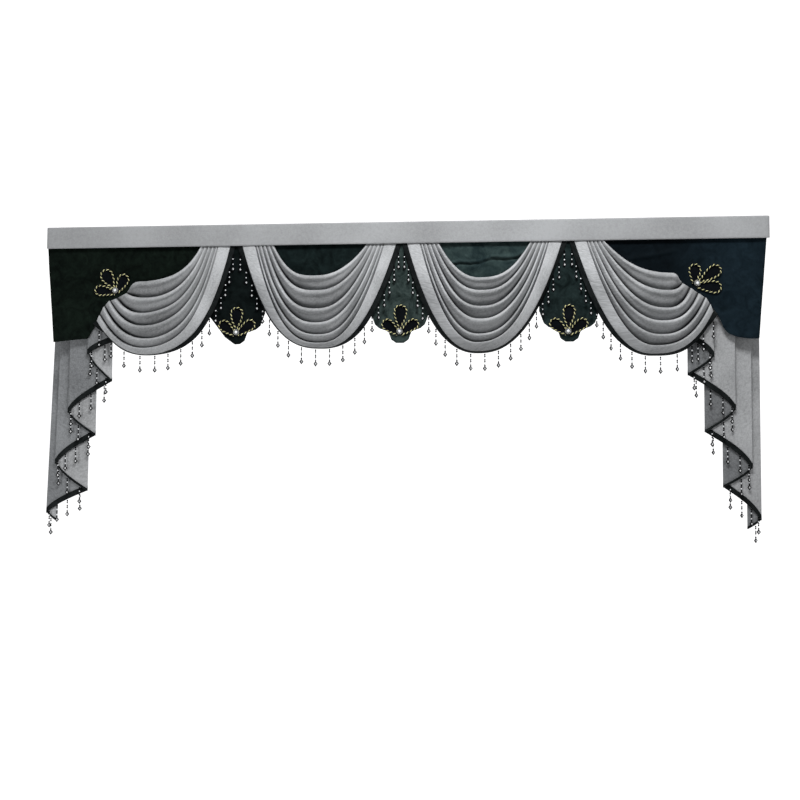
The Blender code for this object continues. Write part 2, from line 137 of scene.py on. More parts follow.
# Heading band: one straight strip of grey chenille with a turned edge, 3 mm thick in all. It
# hangs from its top edge, and every other piece is sewn on behind its lower edge.
BAND_WIDTH = 3.0
BAND_HEIGHT = 0.088
BAND_CLOTH = 0.003


def unit(vectors):
    """The same vectors at length 1."""
    return vectors / np.maximum(np.linalg.norm(vectors, axis=-1, keepdims=True), 1e-9)


def hung_piece(name, mesh):
    """A finished piece of the valance."""
    piece = add_object(name, mesh)
    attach(piece, "root")
    return piece


def closed_sheet(name, middle, thickness, face, reverse=None, tone=None):
    """A closed sheet of cloth on a grid of middle points, with its edge rounded over all round."""
    rows, columns = middle.shape[:2]
    normal = unit(np.cross(np.gradient(middle, axis=0), np.gradient(middle, axis=1)))
    front = middle + normal * thickness / 2
    back = middle - normal * thickness / 2
    index = np.arange(rows * columns).reshape(rows, columns)
    edge = np.concatenate([index[:-1, 0], index[-1, :-1], index[:0:-1, -1], index[0, :0:-1]])
    inside = middle.copy()
    inside[:, 0] = middle[:, 1]
    inside[:, -1] = middle[:, -2]
    outward_across = middle - inside
    inside[:] = middle
    inside[0] = middle[1]
    inside[-1] = middle[-2]
    outward = unit(outward_across) + unit(middle - inside)
    rim = (middle + unit(outward) * thickness / 2).reshape(-1, 3)[edge]
    points = np.concatenate([front.reshape(-1, 3), back.reshape(-1, 3), rim])
    first = index[:-1, :-1].ravel()
    below = index[1:, :-1].ravel()
    below_next = index[1:, 1:].ravel()
    after = index[:-1, 1:].ravel()
    front_faces = np.stack([first, below, below_next, after], axis=1)
    back_faces = front_faces[:, ::-1] + rows * columns
    ring = np.arange(len(edge)) + 2 * rows * columns
    ring_next = np.roll(ring, -1)
    edge_next = np.roll(edge, -1)
    rim_faces = np.stack([edge_next, edge, ring, ring_next], axis=1)
    rim_back = np.stack([ring_next, ring, edge + rows * columns, edge_next + rows * columns],
                        axis=1)
    quads = np.concatenate([front_faces, back_faces, rim_faces, rim_back])
    mesh = bpy.data.meshes.new(name)
    mesh.from_pydata(points.tolist(), [], quads.tolist())
    down = np.zeros((rows, columns))
    down[1:] = np.cumsum(np.linalg.norm(np.diff(middle, axis=0), axis=2), axis=0)
    side = np.zeros((rows, columns))
    side[:, 1:] = np.cumsum(np.linalg.norm(np.diff(middle, axis=1), axis=2), axis=1)
    flat = np.stack([side, down], axis=2).reshape(-1, 2)
    flat = np.concatenate([flat, flat, flat[edge]])
    layer = mesh.uv_layers.new(name="cloth")
    layer.uv.foreach_set("vector", flat[quads.ravel()].astype(np.float32).ravel())
    # The tone is painted light and shade of the folds, kept on the points for the chenille's
    # colour.
    if tone is not None:
        tone = tone.ravel()
        painted_fold_shading = mesh.attributes.new("painted_fold_shading", "FLOAT", "POINT")
        painted_fold_shading.data.foreach_set(
            "value", np.concatenate([tone, tone, tone[edge]]).astype(np.float32))
    mesh.materials.append(face)
    if reverse:
        mesh.materials.append(reverse)
        turned = np.zeros(len(quads), dtype=np.int32)
        turned[len(front_faces):len(front_faces) + len(back_faces)] = 1
        mesh.polygons.foreach_set("material_index", turned)
    mesh.shade_smooth()
    return hung_piece(name, mesh)


def cloth_shader(name, roughness, shine, sheen, sheen_roughness, sheen_tint):
    """A material for cloth: its Principled shader with sheen, ready for a colour and a bump."""
    material, tree, shader = new_material(name, roughness, shine)
    shader.inputs["Sheen Weight"].default_value = sheen
    shader.inputs["Sheen Roughness"].default_value = sheen_roughness
    shader.inputs["Sheen Tint"].default_value = (*sheen_tint, 1.0)
    return material, tree, shader


def colour_steps(tree, factor, steps):
    """A colour ramp over a factor, from (place, colour) steps."""
    ramp = tree.nodes.new("ShaderNodeValToRGB")
    while len(ramp.color_ramp.elements) < len(steps):
        ramp.color_ramp.elements.new(0.5)
    for element, (place, colour) in zip(ramp.color_ramp.elements, steps):
        element.position = place
        element.color = (*colour, 1.0)
    tree.links.new(factor, ramp.inputs["Fac"])
    return ramp.outputs["Color"]


def raise_pile(tree, shader, height, strength, distance):
    """Low relief on a shader, from a height."""
    bump = add_node(tree, "ShaderNodeBump",
                    {"Height": height, "Strength": strength, "Distance": distance})
    tree.links.new(bump.outputs["Normal"], shader.inputs["Normal"])


def chenille(name, low, high, depth, sheen, pit_shade):
    """Chenille: short tufts in a pebbled pattern that follows the cloth, darker between the tufts.

    Its painted fold shading: painted highlight on the ridges, painted shade in the creases.
    """
    material, tree, shader = cloth_shader(name, 0.95, 0.2, sheen, 0.45, (0.9, 0.93, 1.0))
    on_cloth = add_node(tree, "ShaderNodeUVMap", uv_map="cloth").outputs["UV"]
    tufts = add_node(tree, "ShaderNodeTexVoronoi",
                     {"Vector": on_cloth, "Scale": 180.0, "Randomness": 0.9}, feature="SMOOTH_F1")
    pile = add_node(tree, "ShaderNodeTexNoise",
                    {"Vector": on_cloth, "Scale": 70.0, "Detail": 4.0, "Roughness": 0.65})
    wear = add_node(tree, "ShaderNodeTexNoise",
                    {"Vector": on_cloth, "Scale": 4.0, "Detail": 1.0, "Roughness": 0.3})
    tone = add_node(tree, "ShaderNodeMath", {
        0: pile.outputs["Fac"], 1: 0.55, 2: wear.outputs["Fac"]}, operation="MULTIPLY_ADD")
    # Painted shade: the colour is darker in the pits between the tufts.
    shade = add_node(tree, "ShaderNodeMath", {
        0: tufts.outputs["Distance"], 1: -pit_shade, 2: tone.outputs[0]}, operation="MULTIPLY_ADD")
    colour = colour_steps(tree, shade.outputs[0], [(0.25, low), (0.85, high)])
    # Painted highlight on fold ridges and painted shade in fold creases scale the colour.
    painted_fold_shading = add_node(tree, "ShaderNodeAttribute", attribute_name="painted_fold_shading")
    lie = add_node(tree, "ShaderNodeMath", {0: painted_fold_shading.outputs["Fac"], 1: 1.0}, operation="ADD")
    toned = add_node(tree, "ShaderNodeVectorMath", {0: colour, "Scale": lie.outputs[0]},
                     operation="SCALE")
    tree.links.new(toned.outputs[0], shader.inputs["Base Color"])
    height = add_node(tree, "ShaderNodeMath", {
        0: tufts.outputs["Distance"], 1: -1.0, 2: pile.outputs["Fac"]}, operation="MULTIPLY_ADD")
    raise_pile(tree, shader, height.outputs[0], 0.55, depth)
    return material


grey_band = chenille("chenille_band", (0.27, 0.275, 0.28), (0.40, 0.41, 0.42), 0.0008, 0.10, 0.30)
grey_face = chenille("chenille_face", (0.21, 0.215, 0.22), (0.42, 0.43, 0.44), 0.0016, 0.12, 0.45)
# A lighter copy of the face chenille: painted light on the tails.
grey_tail_lit = chenille("chenille_tail_lit", (0.26, 0.265, 0.27), (0.50, 0.51, 0.52), 0.0016, 0.12, 0.45)
# The cloth's back, with less sheen, painted darker as shade from the layer in front of it.
grey_reverse_shaded = chenille("chenille_reverse_shaded", (0.12, 0.125, 0.13), (0.27, 0.28, 0.29),
                        0.0010, 0.04, 0.45)

BAND_WAVE = 0.0012
band_x = np.linspace(-BAND_WIDTH / 2, BAND_WIDTH / 2, 301)
band_z = -BAND_HEIGHT * np.linspace(0.0, 1.0, 15)
band = np.zeros((len(band_z), len(band_x), 3))
band[:, :, 0] = band_x
band[:, :, 2] = band_z[:, None]
for row in band:
    for point in row:
        wave = noise.noise(Vector((point[0] * 5.0, 0.0, point[2] * 9.0)))
        point[1] = -BAND_CLOTH / 2 - BAND_WAVE * (wave + 1.0) * (-point[2] / BAND_HEIGHT)
band_piece = closed_sheet("heading_band_cloth", band, BAND_CLOTH, grey_band, grey_reverse_shaded)
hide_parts("heading_band")

# Velvet panels: four dark green-black pieces of crushed velvet, 2 mm thick, sewn behind the band.
# The two middle ones show in the half-moons, and the two end ones hang with a shaped lower edge.
GAP = 0.0004
TUCK_Z = -0.062
SEAM_Z = -0.090
VELVET_CLOTH = 0.002
PENDANT_FRONT = 0.0084
PANEL_FRONT = PENDANT_FRONT + VELVET_CLOTH + GAP
PANEL_BOTTOM_Z = -0.300
PENDANT_CENTRES = (-0.684, 0.005, 0.700)
PANEL_LEFT_EDGE = [(-1.473, -0.486), (-1.323, -0.472), (-1.300, -0.430), (-1.284, -0.403),
                   (-1.230, -0.340), (-1.100, -0.300)]
PANEL_RIGHT_EDGE = [(1.100, -0.300), (1.230, -0.335), (1.283, -0.376), (1.305, -0.416),
                    (1.315, -0.445), (1.337, -0.473), (1.376, -0.488), (1.420, -0.494),
                    (1.458, -0.494)]


def crushed_velvet(name, dark, light, nap, shaded_to=None):
    """Crushed velvet: its pile lies in patches, near black to a dull sheen, darker up to one x."""
    material, tree, shader = cloth_shader(name, 0.75, 0.04, 0.05, 0.35, (0.30, 0.42, 0.42))
    place = add_node(tree, "ShaderNodeTexCoord").outputs["Object"]
    patches = add_node(tree, "ShaderNodeTexNoise", {
        "Vector": place, "Scale": 16.0, "Detail": 5.0, "Roughness": 0.62, "Distortion": 1.3})
    streaks = add_node(tree, "ShaderNodeTexNoise", {
        "Vector": place, "Scale": 60.0, "Detail": 3.0, "Roughness": 0.6, "Distortion": 0.6})
    mixed = add_node(tree, "ShaderNodeMath", {
        0: streaks.outputs["Fac"], 1: 0.35, 2: patches.outputs["Fac"]}, operation="MULTIPLY_ADD")
    colour = colour_steps(tree, mixed.outputs[0], [(0.50, dark), (0.90, light)])
    # Painted shade: the colour darkens towards lower x around shaded_to.
    if shaded_to is not None:
        parts = add_node(tree, "ShaderNodeSeparateXYZ", {0: place})
        lie = add_node(tree, "ShaderNodeMapRange", {
            "Value": parts.outputs["X"], "To Min": 0.35, "To Max": 1.0,
            "From Min": shaded_to - 0.12, "From Max": shaded_to + 0.12})
        shaded_colour = add_node(tree, "ShaderNodeVectorMath", {0: colour, "Scale": lie.outputs["Result"]},
                        operation="SCALE")
        colour = shaded_colour.outputs[0]
    tree.links.new(colour, shader.inputs["Base Color"])
    raise_pile(tree, shader, mixed.outputs[0], 0.6, nap)
    return material


# The velvet pieces are lighter and darker copies: partly the lie of the pile, partly painted light
# and shade.
end_left_velvet = crushed_velvet("end_left_velvet", (0.0012, 0.0024, 0.0018),
                                 (0.0065, 0.0120, 0.0085), 0.004)
moon_left_velvet = crushed_velvet("moon_left_velvet", (0.0028, 0.0058, 0.0060),
                                  (0.0110, 0.0200, 0.0200), 0.004)
moon_right_velvet = crushed_velvet("moon_right_velvet", (0.0120, 0.0230, 0.0250),
                                   (0.0420, 0.0660, 0.0640), 0.005)
end_right_velvet = crushed_velvet("end_right_velvet", (0.0045, 0.0100, 0.0145),
                                  (0.0110, 0.0215, 0.0300), 0.004, shaded_to=1.22)


def hanging_piece(name, x_ends_top, x_ends_low, lower_edge, front_y, relief, material):
    """A flat piece of velvet hung from the band, from its side edges and the line of its hem."""
    across = np.linspace(0.0, 1.0, 81)
    down = np.linspace(0.0, 1.0, 61)
    low_x = x_ends_low[0] + (x_ends_low[1] - x_ends_low[0]) * across
    top_x = x_ends_top[0] + (x_ends_top[1] - x_ends_top[0]) * across
    edge_x, edge_z = zip(*lower_edge)
    low_z = np.interp(low_x, edge_x, edge_z)
    middle = np.zeros((len(down), len(across), 3))
    for i, share in enumerate(down):
        middle[i, :, 2] = TUCK_Z + (low_z - TUCK_Z) * share
        middle[i, :, 0] = top_x + (low_x - top_x) * share
        middle[i, :, 1] = front_y + VELVET_CLOTH / 2
    for row in middle:
        for point in row:
            point[1] -= relief(point[0], point[2])
    piece = closed_sheet(name, middle, VELVET_CLOTH, material)
    return piece


def rise(value, start, end):
    """A smooth rise from 0 at start to 1 at end."""
    share = min(max((value - start) / (end - start), 0.0), 1.0)
    return share * share * (3.0 - 2.0 * share)


def left_end_relief(x, z):
    """How far the left end panel stands forward: soft waves in its free lower corner."""
    free = rise(x, -1.29, -1.36) * rise(z, -0.10, -0.16)
    soft = noise.noise(Vector((x * 9.0, 3.1, z * 14.0))) * 0.003
    return free * (soft + 0.003 * (1.0 + math.cos((x + 1.40) * 40.0)) / 2)


def right_end_relief(x, z):
    """How far the right end panel stands forward: soft waves, and a crease above swag 4."""
    free = rise(x, 1.29, 1.35) * rise(z, -0.10, -0.16)
    moon = rise(x, 1.16, 1.10) * rise(x, 0.90, 0.96)
    moon *= rise(z, -0.10, -0.12) * rise(z, -0.235, -0.21)
    soft = noise.noise(Vector((x * 9.0, 1.7, z * 14.0))) * 0.003
    crease = 0.004 * math.exp(-((z + 0.150 + 0.02 * math.sin(x * 9.0)) / 0.010) ** 2)
    return free * soft + moon * crease


def second_moon_relief(x, z):
    """How far the panel behind swag 2 stands forward: soft waves and a slanted crease."""
    free = rise(abs(x + 0.34), 0.16, 0.10) * rise(z, -0.10, -0.13)
    crease = 0.003 * math.exp(-((z + 0.165 - 0.35 * (x + 0.20)) / 0.010) ** 2)
    crease *= rise(x, -0.34, -0.24)
    return free * (noise.noise(Vector((x * 12.0, 5.0, z * 16.0))) * 0.003 + crease)


def third_moon_relief(x, z):
    """How far the panel behind swag 3 stands forward: a wavy crease with a hollow below it."""
    free = rise(abs(x - 0.35), 0.19, 0.14) * rise(z, -0.10, -0.115)
    line = -0.158 + 0.12 * (x - 0.35) + 0.005 * math.sin((x - 0.2) * 42.0)
    line += 0.006 * noise.noise(Vector((x * 40.0, 6.0, 0.0)))
    crease = math.exp(-((z - line) / 0.007) ** 2)
    crease -= 0.9 * math.exp(-((z - line + 0.011) / 0.004) ** 2)
    return free * (0.006 * crease + noise.noise(Vector((x * 22.0, 2.0, z * 34.0))) * 0.004)


first, centre, last = PENDANT_CENTRES
left_panel = hanging_piece("panel_left_cloth", (-1.503, first - GAP), (-1.473, first - GAP),
                           PANEL_LEFT_EDGE + [(first, PANEL_BOTTOM_Z)], PANEL_FRONT,
                           left_end_relief, end_left_velvet)
right_panel = hanging_piece("panel_right_cloth", (last + GAP, 1.494), (last + GAP, 1.458),
                            [(last, PANEL_BOTTOM_Z)] + PANEL_RIGHT_EDGE, PANEL_FRONT,
                            right_end_relief, end_right_velvet)
flat_hem = [(-1.0, PANEL_BOTTOM_Z), (1.0, PANEL_BOTTOM_Z)]
mid_left_panel = hanging_piece("panel_mid_left_cloth", (first, centre - GAP), (first, centre - GAP),
                               flat_hem, PANEL_FRONT, second_moon_relief, moon_left_velvet)
mid_right_panel = hanging_piece("panel_mid_right_cloth", (centre, last - GAP), (centre, last - GAP),
                                flat_hem, PANEL_FRONT, third_moon_relief, moon_right_velvet)
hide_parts("panel_left")
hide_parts("panel_right")
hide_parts("panel_mid_left")
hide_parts("panel_mid_right")

# Pendants: three dark velvet pieces between the swags, each with a shaped lower edge that ends in
# a blunt point. They are sewn behind the band, in front of the panels' seams.
PENDANT_HALF_WIDTH = 0.122
PENDANT_STEPPED_EDGE = [(0.016, -0.501), (0.036, -0.487), (0.048, -0.453), (0.085, -0.440),
                        (0.104, -0.424), (0.122, -0.375)]
PENDANT_PLAIN_EDGE = [(0.006, -0.502), (0.048, -0.471), (0.078, -0.431), (0.122, -0.373)]
# Per pendant, lighter or darker copies of the velvet: partly the lie of the pile, partly painted
# light and shade.
PENDANT_VELVETS = [
    crushed_velvet("pendant_1_velvet", (0.0015, 0.0030, 0.0030), (0.0060, 0.0100, 0.0100), 0.004),
    crushed_velvet("pendant_2_velvet", (0.0100, 0.0175, 0.0165), (0.0600, 0.0850, 0.0800), 0.006),
    crushed_velvet("pendant_3_velvet", (0.0035, 0.0075, 0.0075), (0.0190, 0.0320, 0.0320), 0.005),
]


def pendant_relief(centre_x, folds, depth):
    """Soft folds that run down a pendant from its top, between the swags, to above its flower."""
    def relief(x, z):
        half = 0.020 + (SEAM_Z - z) * 0.30
        free = rise(abs(x - centre_x), half, half - 0.03) * rise(z, -0.12, -0.17)
        free *= rise(z, -0.345, -0.315)
        lie = noise.noise(Vector((x * 11.0 + centre_x * 9.0, 7.0, z * 7.0)))
        fold = math.sin((x - centre_x) * folds + z * 19.0 + 2.2 * lie)
        return free * depth * (0.5 + 0.5 * fold)
    return relief


for number, (centre_x, left_edge, folds, depth) in enumerate(
        [(PENDANT_CENTRES[0], PENDANT_PLAIN_EDGE, 60.0, 0.002),
         (PENDANT_CENTRES[1], PENDANT_STEPPED_EDGE, 130.0, 0.006),
         (PENDANT_CENTRES[2], PENDANT_STEPPED_EDGE, 70.0, 0.004)], start=1):
    edge = [(centre_x - x, z) for x, z in left_edge[::-1]]
    edge += [(centre_x + x, z) for x, z in PENDANT_STEPPED_EDGE]
    ends = (centre_x - PENDANT_HALF_WIDTH, centre_x + PENDANT_HALF_WIDTH)
    pendant = hanging_piece(f"pendant_{number}_cloth", ends, ends, edge, PENDANT_FRONT,
                            pendant_relief(centre_x, folds, depth), PENDANT_VELVETS[number - 1])
    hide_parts(f"pendant_{number}")

# Swags: four pieces of grey chenille, each drawn up into six hanging folds. The pinned sides are
# sewn on behind the band, and the outer sides of the end swags are gathered on the end panels.
SWAG_CLOTH = 0.0015
PINNED_FOLD_DEPTH = 0.0056
SWAG_BASE = 0.0070
GATHER_BASE = 0.0094
FOLD_SHARE = (0.0, 0.13, 0.26, 0.39, 0.52, 0.60, 1.0)
BELLY = (0.012, 0.022, 0.030, 0.034, 0.034, 0.028, 0.018)
SIDE_STEPS = 84
FOLDS = 6
SwagSide = namedtuple("SwagSide", "ends powers pinned base fold_depth runs")
Swag = namedtuple("Swag", "number left right low_x_inner low_x_hem low_z leans")

# A fold from the foot of its wall over its lip and down to the crevice above the next lip: its
# place in folds where there is room for an overhang, its place where there is none, its height.
FoldRow = namedtuple("FoldRow", "wide narrow height")
FOLD_WALL = [FoldRow(0.030, -0.125, 0.00), FoldRow(-0.005, -0.118, 0.12),
             FoldRow(-0.035, -0.108, 0.30), FoldRow(-0.052, -0.092, 0.50),
             FoldRow(-0.050, -0.070, 0.68), FoldRow(-0.030, -0.040, 0.83),
             FoldRow(0.005, 0.000, 0.93), FoldRow(0.050, 0.045, 0.985)]
FOLD_FACE = [FoldRow(0.100, 0.100, 1.00), FoldRow(0.155, 0.165, 0.99), FoldRow(0.205, 0.230, 0.95),
             FoldRow(0.250, 0.290, 0.885), FoldRow(0.290, 0.345, 0.81),
             FoldRow(0.350, 0.400, 0.735), FoldRow(0.430, 0.455, 0.675),
             FoldRow(0.520, 0.515, 0.615), FoldRow(0.610, 0.575, 0.55),
             FoldRow(0.690, 0.630, 0.475), FoldRow(0.755, 0.685, 0.38), FoldRow(0.810, 0.740, 0.27),
             FoldRow(0.860, 0.785, 0.15), FoldRow(0.910, 0.830, 0.04)]
HEM_FACE = [FoldRow(0.130, 0.120, 1.00), FoldRow(0.200, 0.200, 0.99), FoldRow(0.300, 0.300, 0.97),
            FoldRow(0.400, 0.400, 0.94), FoldRow(0.500, 0.500, 0.90), FoldRow(0.600, 0.600, 0.85),
            FoldRow(0.700, 0.700, 0.79), FoldRow(0.800, 0.800, 0.71), FoldRow(0.900, 0.900, 0.61),
            FoldRow(1.000, 1.000, 0.50)]

# A fold stands out, and its hollow lies back, by shares of its pitch within limits. Painted
# highlight lightens ridges and painted shade darkens creases, the more so on the steep legs.
DEPTH_OF_PITCH = 0.45
LEAST_DEPTH, MOST_DEPTH = 0.005, 0.028
HOLLOW_OF_PITCH = 0.85
LEAST_HOLLOW, MOST_HOLLOW = 0.022, 0.048
RIDGE_PAINTED_LIGHT, LEG_RIDGE_PAINTED_LIGHT = 0.10, 0.30
CREASE_PAINTED_SHADE, LEG_CREASE_PAINTED_SHADE = 0.25, 0.58
LINE_SWAY = 0.0055
CLOTH_DENT = 0.0022


def pinned_side(inner_x, outer_x, powers, fold_depth, runs):
    """A side whose folds are sewn on behind the band, spread from the inner to the outer edge."""
    ends = [(inner_x + (outer_x - inner_x) * share, SEAM_Z) for share in FOLD_SHARE]
    return SwagSide(ends, powers, True, SWAG_BASE, fold_depth, runs)


def gathered_side(ends, powers, runs):
    """A side whose folds are drawn together on an end panel, below a rope flower."""
    return SwagSide(ends, powers, False, GATHER_BASE, 1.0, runs)


SWAGS = [
    Swag(1, gathered_side([(-1.140, -0.262), (-1.158, -0.284), (-1.204, -0.307), (-1.231, -0.315),
                           (-1.254, -0.340), (-1.274, -0.378), (-1.283, -0.398)], (2.2, 2.2), 4),
         pinned_side(-0.835, -0.711, (2.0, 5.0), 0.7, 11), -1.080, -1.055,
         (-0.240, -0.310, -0.375, -0.428, -0.482, -0.522, -0.545), (72, 87, 20)),
    Swag(2, pinned_side(-0.527, -0.657, (2.7, 2.7), 1.0, 10),
         pinned_side(-0.132, -0.011, (2.3, 2.3), 0.4, 10), -0.346, -0.315,
         (-0.226, -0.290, -0.367, -0.421, -0.471, -0.505, -0.522), (72, 87, 12)),
    Swag(3, pinned_side(0.164, 0.036, (2.3, 2.3), 0.8, 10),
         pinned_side(0.545, 0.671, (2.4, 2.4), 0.7, 11), 0.345, 0.327,
         (-0.243, -0.295, -0.361, -0.412, -0.475, -0.507, -0.541), (20, 72, 60)),
    Swag(4, pinned_side(0.840, 0.723, (2.2, 2.2), 0.9, 11),
         gathered_side([(1.142, -0.253), (1.158, -0.270), (1.190, -0.290), (1.222, -0.312),
                        (1.249, -0.330), (1.267, -0.358), (1.276, -0.384)], (2.7, 2.7), 5),
         1.105, 1.030, (-0.237, -0.303, -0.376, -0.429, -0.480, -0.525, -0.556), (20, 72, 50)),
]


def half_line(side, line, low):
    """One half of a swag's line, from its held end down to its lowest point."""
    end_x, end_z = side.ends[line]
    share = np.linspace(1.0, 0.0, 241)
    lift = sum(share ** power for power in side.powers) / len(side.powers)
    x = low[0] + (end_x - low[0]) * share
    z = low[1] + (end_z - low[1]) * lift
    run = np.concatenate([[0.0], np.cumsum(np.hypot(np.diff(x), np.diff(z)))])
    steps = np.linspace(0.0, run[-1], SIDE_STEPS + 1)
    points = np.column_stack([np.interp(steps, run, x), np.interp(steps, run, z)])
    if side.pinned:
        tucked = [[end_x, z] for z in (TUCK_Z, -0.072, -0.081)]
        points = np.vstack([tucked, points])
    return points


def swag_lines(swag):
    """The seven lines of a swag, with the share along its side and the side of each point."""
    lines = []
    for line, low_z in enumerate(swag.low_z):
        share = line / FOLDS
        low = (swag.low_x_inner + (swag.low_x_hem - swag.low_x_inner) * share, low_z)
        left, right = (half_line(side, line, low) for side in (swag.left, swag.right))
        lines.append(np.vstack([left, right[::-1][1:]]))
    parts = []
    for side in (swag.left, swag.right):
        shares = [0.0] * (3 * side.pinned) + list(np.linspace(0.0, 1.0, SIDE_STEPS + 1))
        parts.append((shares, [side.base] * len(shares), [side.fold_depth] * len(shares)))
    along, base, fold_depth = (np.array(left + right[::-1][1:]) for left, right in zip(*parts))
    return np.array(lines), along, base, fold_depth


def swag_middle(swag):
    """A swag's middle surface, with rows along its folds, and its painted fold light and shade."""
    lines, along, base, leg_depth = swag_lines(swag)
    forward = 1.0 - (1.0 - along) ** 2.4
    fullness = np.where(base == GATHER_BASE, 1.0 - (1.0 - along) ** 6.0, forward)
    tightness = np.ones((FOLDS, len(along)))
    for line in range(FOLDS):
        for i, share in enumerate(along):
            place = Vector((lines[line, i, 0] * 6.0, line * 1.7, swag.number * 5.3))
            lines[line, i, 1] += LINE_SWAY * noise.noise(place) * forward[i]
            tightness[line, i] += 0.35 * noise.noise(place * 1.3 + Vector((9.0, 0.0, 4.0)))
    held_depth = leg_depth
    settle = np.clip(along / 0.55, 0.0, 1.0)
    leg_depth = leg_depth + (1.0 - leg_depth) * settle * settle * (3.0 - 2.0 * settle)
    pitches = np.linalg.norm(np.diff(lines, axis=0), axis=2)
    leg = 1.0 - np.clip((along - 0.55) / 0.40, 0.0, 1.0)
    opening = np.where(base == GATHER_BASE, 1.0, np.clip((along - 0.06) / 0.24, 0.0, 1.0))
    rows = []
    painted_fold_shades = []
    for fold in range(FOLDS):
        pitch = pitches[fold]
        depth = np.clip(pitch * DEPTH_OF_PITCH, LEAST_DEPTH, MOST_DEPTH)
        depth = (PINNED_FOLD_DEPTH + (depth - PINNED_FOLD_DEPTH) * fullness) * leg_depth
        hollow = np.clip(pitch * HOLLOW_OF_PITCH * tightness[fold], LEAST_HOLLOW, MOST_HOLLOW)
        hollow = hollow - depth
        hollow = hollow * (1.0 - (1.0 - along) ** 6.0)
        room = np.clip((np.minimum(pitch, pitches[max(fold - 1, 0)]) - 0.022) / 0.028, 0.0, 1.0)
        for row in FOLD_WALL + (FOLD_FACE if fold < FOLDS - 1 else HEM_FACE):
            has_hollow = row in FOLD_FACE or (fold and row in FOLD_WALL)
            behind = 1.0 - row.height if has_hollow else 0.0
            offset = row.narrow + (row.wide - row.narrow) * room
            before = lines[max(fold - 1, 0)] if fold else 2 * lines[0] - lines[1]
            step_back = lines[fold] - before
            step_on = lines[fold + 1] - lines[fold]
            points = lines[fold] + np.where(offset < 0, offset, 0)[:, None] * step_back
            points = points + np.where(offset > 0, offset, 0)[:, None] * step_on
            belly = -np.interp(fold + offset, np.arange(len(BELLY)), BELLY)
            y = base + (belly - base) * forward - depth * row.height
            y = np.minimum(y + hollow * behind, base)
            rows.append(np.column_stack([points[:, 0], y, points[:, 1]]))
            # Painted highlight on ridges and painted shade in creases, for the pile's colour.
            ridge = 1.0 if row in HEM_FACE else min(max((row.height - 0.7) / 0.3, 0.0), 1.0)
            crease = 0.0 if row in HEM_FACE else min(max((0.62 - row.height) / 0.35, 0.0), 1.0)
            painted_fold_shades.append(ridge * (RIDGE_PAINTED_LIGHT + LEG_RIDGE_PAINTED_LIGHT * leg)
                         - crease * opening * (CREASE_PAINTED_SHADE + LEG_CREASE_PAINTED_SHADE * leg * held_depth))
    middle = np.array(rows)
    for row in middle:
        for i, point in enumerate(row):
            place = Vector(point) * 13.0 + Vector((swag.number, 0.0, 0.0))
            dent = noise.fractal(place, 0.8, 2.0, 2)
            point[1] += CLOTH_DENT * dent * forward[i]
    return middle, along, np.array(painted_fold_shades)


swag_sheets = {}
for swag in SWAGS:
    middle, along, painted_fold_shades = swag_middle(swag)
    swag_piece = closed_sheet(f"swag_{swag.number}_cloth", middle, SWAG_CLOTH,
                              grey_face, grey_reverse_shaded, painted_fold_shades)
    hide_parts(f"swag_{swag.number}")
    swag_sheets[swag.number] = (swag, swag_piece, middle, along)

# Swag trims: one strip of dark velvet 20 mm wide along the hem of each swag. It stands out from
# the hem on the steep sides and is turned under the swag at its lowest part.
TRIM_WIDTH = 0.020
TRIM_CLOTH = 0.0018
STRAND_FORWARD = 0.0025
trim_velvet = crushed_velvet("trim_velvet", (0.0050, 0.0062, 0.0064),
                             (0.0160, 0.0190, 0.0195), 0.002)
strand_roots = []

for number, (swag, swag_piece, middle, along) in swag_sheets.items():
    hem = middle[-1]
    run = unit(np.gradient(hem[:, [0, 2]], axis=0))
    outward = np.column_stack([run[:, 1], np.zeros(len(run)), -run[:, 0]])
    backward = np.array([0.0, 1.0, 0.0])
    lowest = int(np.argmin(hem[:, 2]))
    leans = []
    for i, share in enumerate(along):
        left_lean, bottom_lean, right_lean = swag.leans
        held = (left_lean if i < lowest else right_lean) * min(share / 0.2, 1.0)
        leans.append(held + (bottom_lean - held) * rise(share, 0.55, 0.97))
    cosine = np.cos(np.radians(leans))[:, None]
    sine = np.sin(np.radians(leans))[:, None]
    inner = hem + outward * (SWAG_CLOTH / 2 + GAP)
    turn = outward * cosine + backward * sine
    strip = np.array([inner + turn * (TRIM_WIDTH - SWAG_CLOTH / 2) * share
                      for share in (0.0, 0.08, 0.3, 0.55, 0.8, 0.95, 1.0)])
    trim = closed_sheet(f"swag_trim_{number}_cloth", strip, TRIM_CLOTH, trim_velvet)
    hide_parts(f"swag_trim_{number}")
    edge = strip[-1]
    for side, order in ((swag.left, slice(0, lowest + 1)),
                        (swag.right, slice(None, lowest - 1, -1))):
        shares = along[order]
        line = edge[order]
        for step in range(side.runs):
            root = [np.interp((step + 0.5) / side.runs, shares, line[:, axis])
                    for axis in range(3)]
            strand_roots.append((root[0], root[1] - STRAND_FORWARD, root[2]))

# Tails: two pieces of grey chenille folded back and forth in eight layers, with a slanted hem that
# falls in a zigzag. They are sewn behind the end panels, and every second layer shows its reverse.
TAIL_CLOTH = 0.0012
TAIL_TRIM_CLOTH = TAIL_CLOTH * 1.5
TAIL_BASE = PANEL_FRONT + VELVET_CLOTH + GAP + TAIL_CLOTH / 2
TAIL_OPEN_FROM = -0.100
TAIL_OPEN_TO = -0.480
TAIL_TRIM_FACE = 0.025
TAIL_TRIM_REVERSE = 0.011
TURN_DEPTH, TURN_OPENS = 0.0026, 0.0019
LAYER_SLANT, SLANT_OPENS = 0.0008, 0.0032
TAIL_WAVE, TAIL_WAVE_LENGTH = 0.004, 0.19
FOLD_BULGE = 0.0035
TailFold = namedtuple("TailFold", "x z strands")
TailColumn = namedtuple("TailColumn", "x z layer share turn bulge trim")
Tail = namedtuple("Tail", "side flare folds")
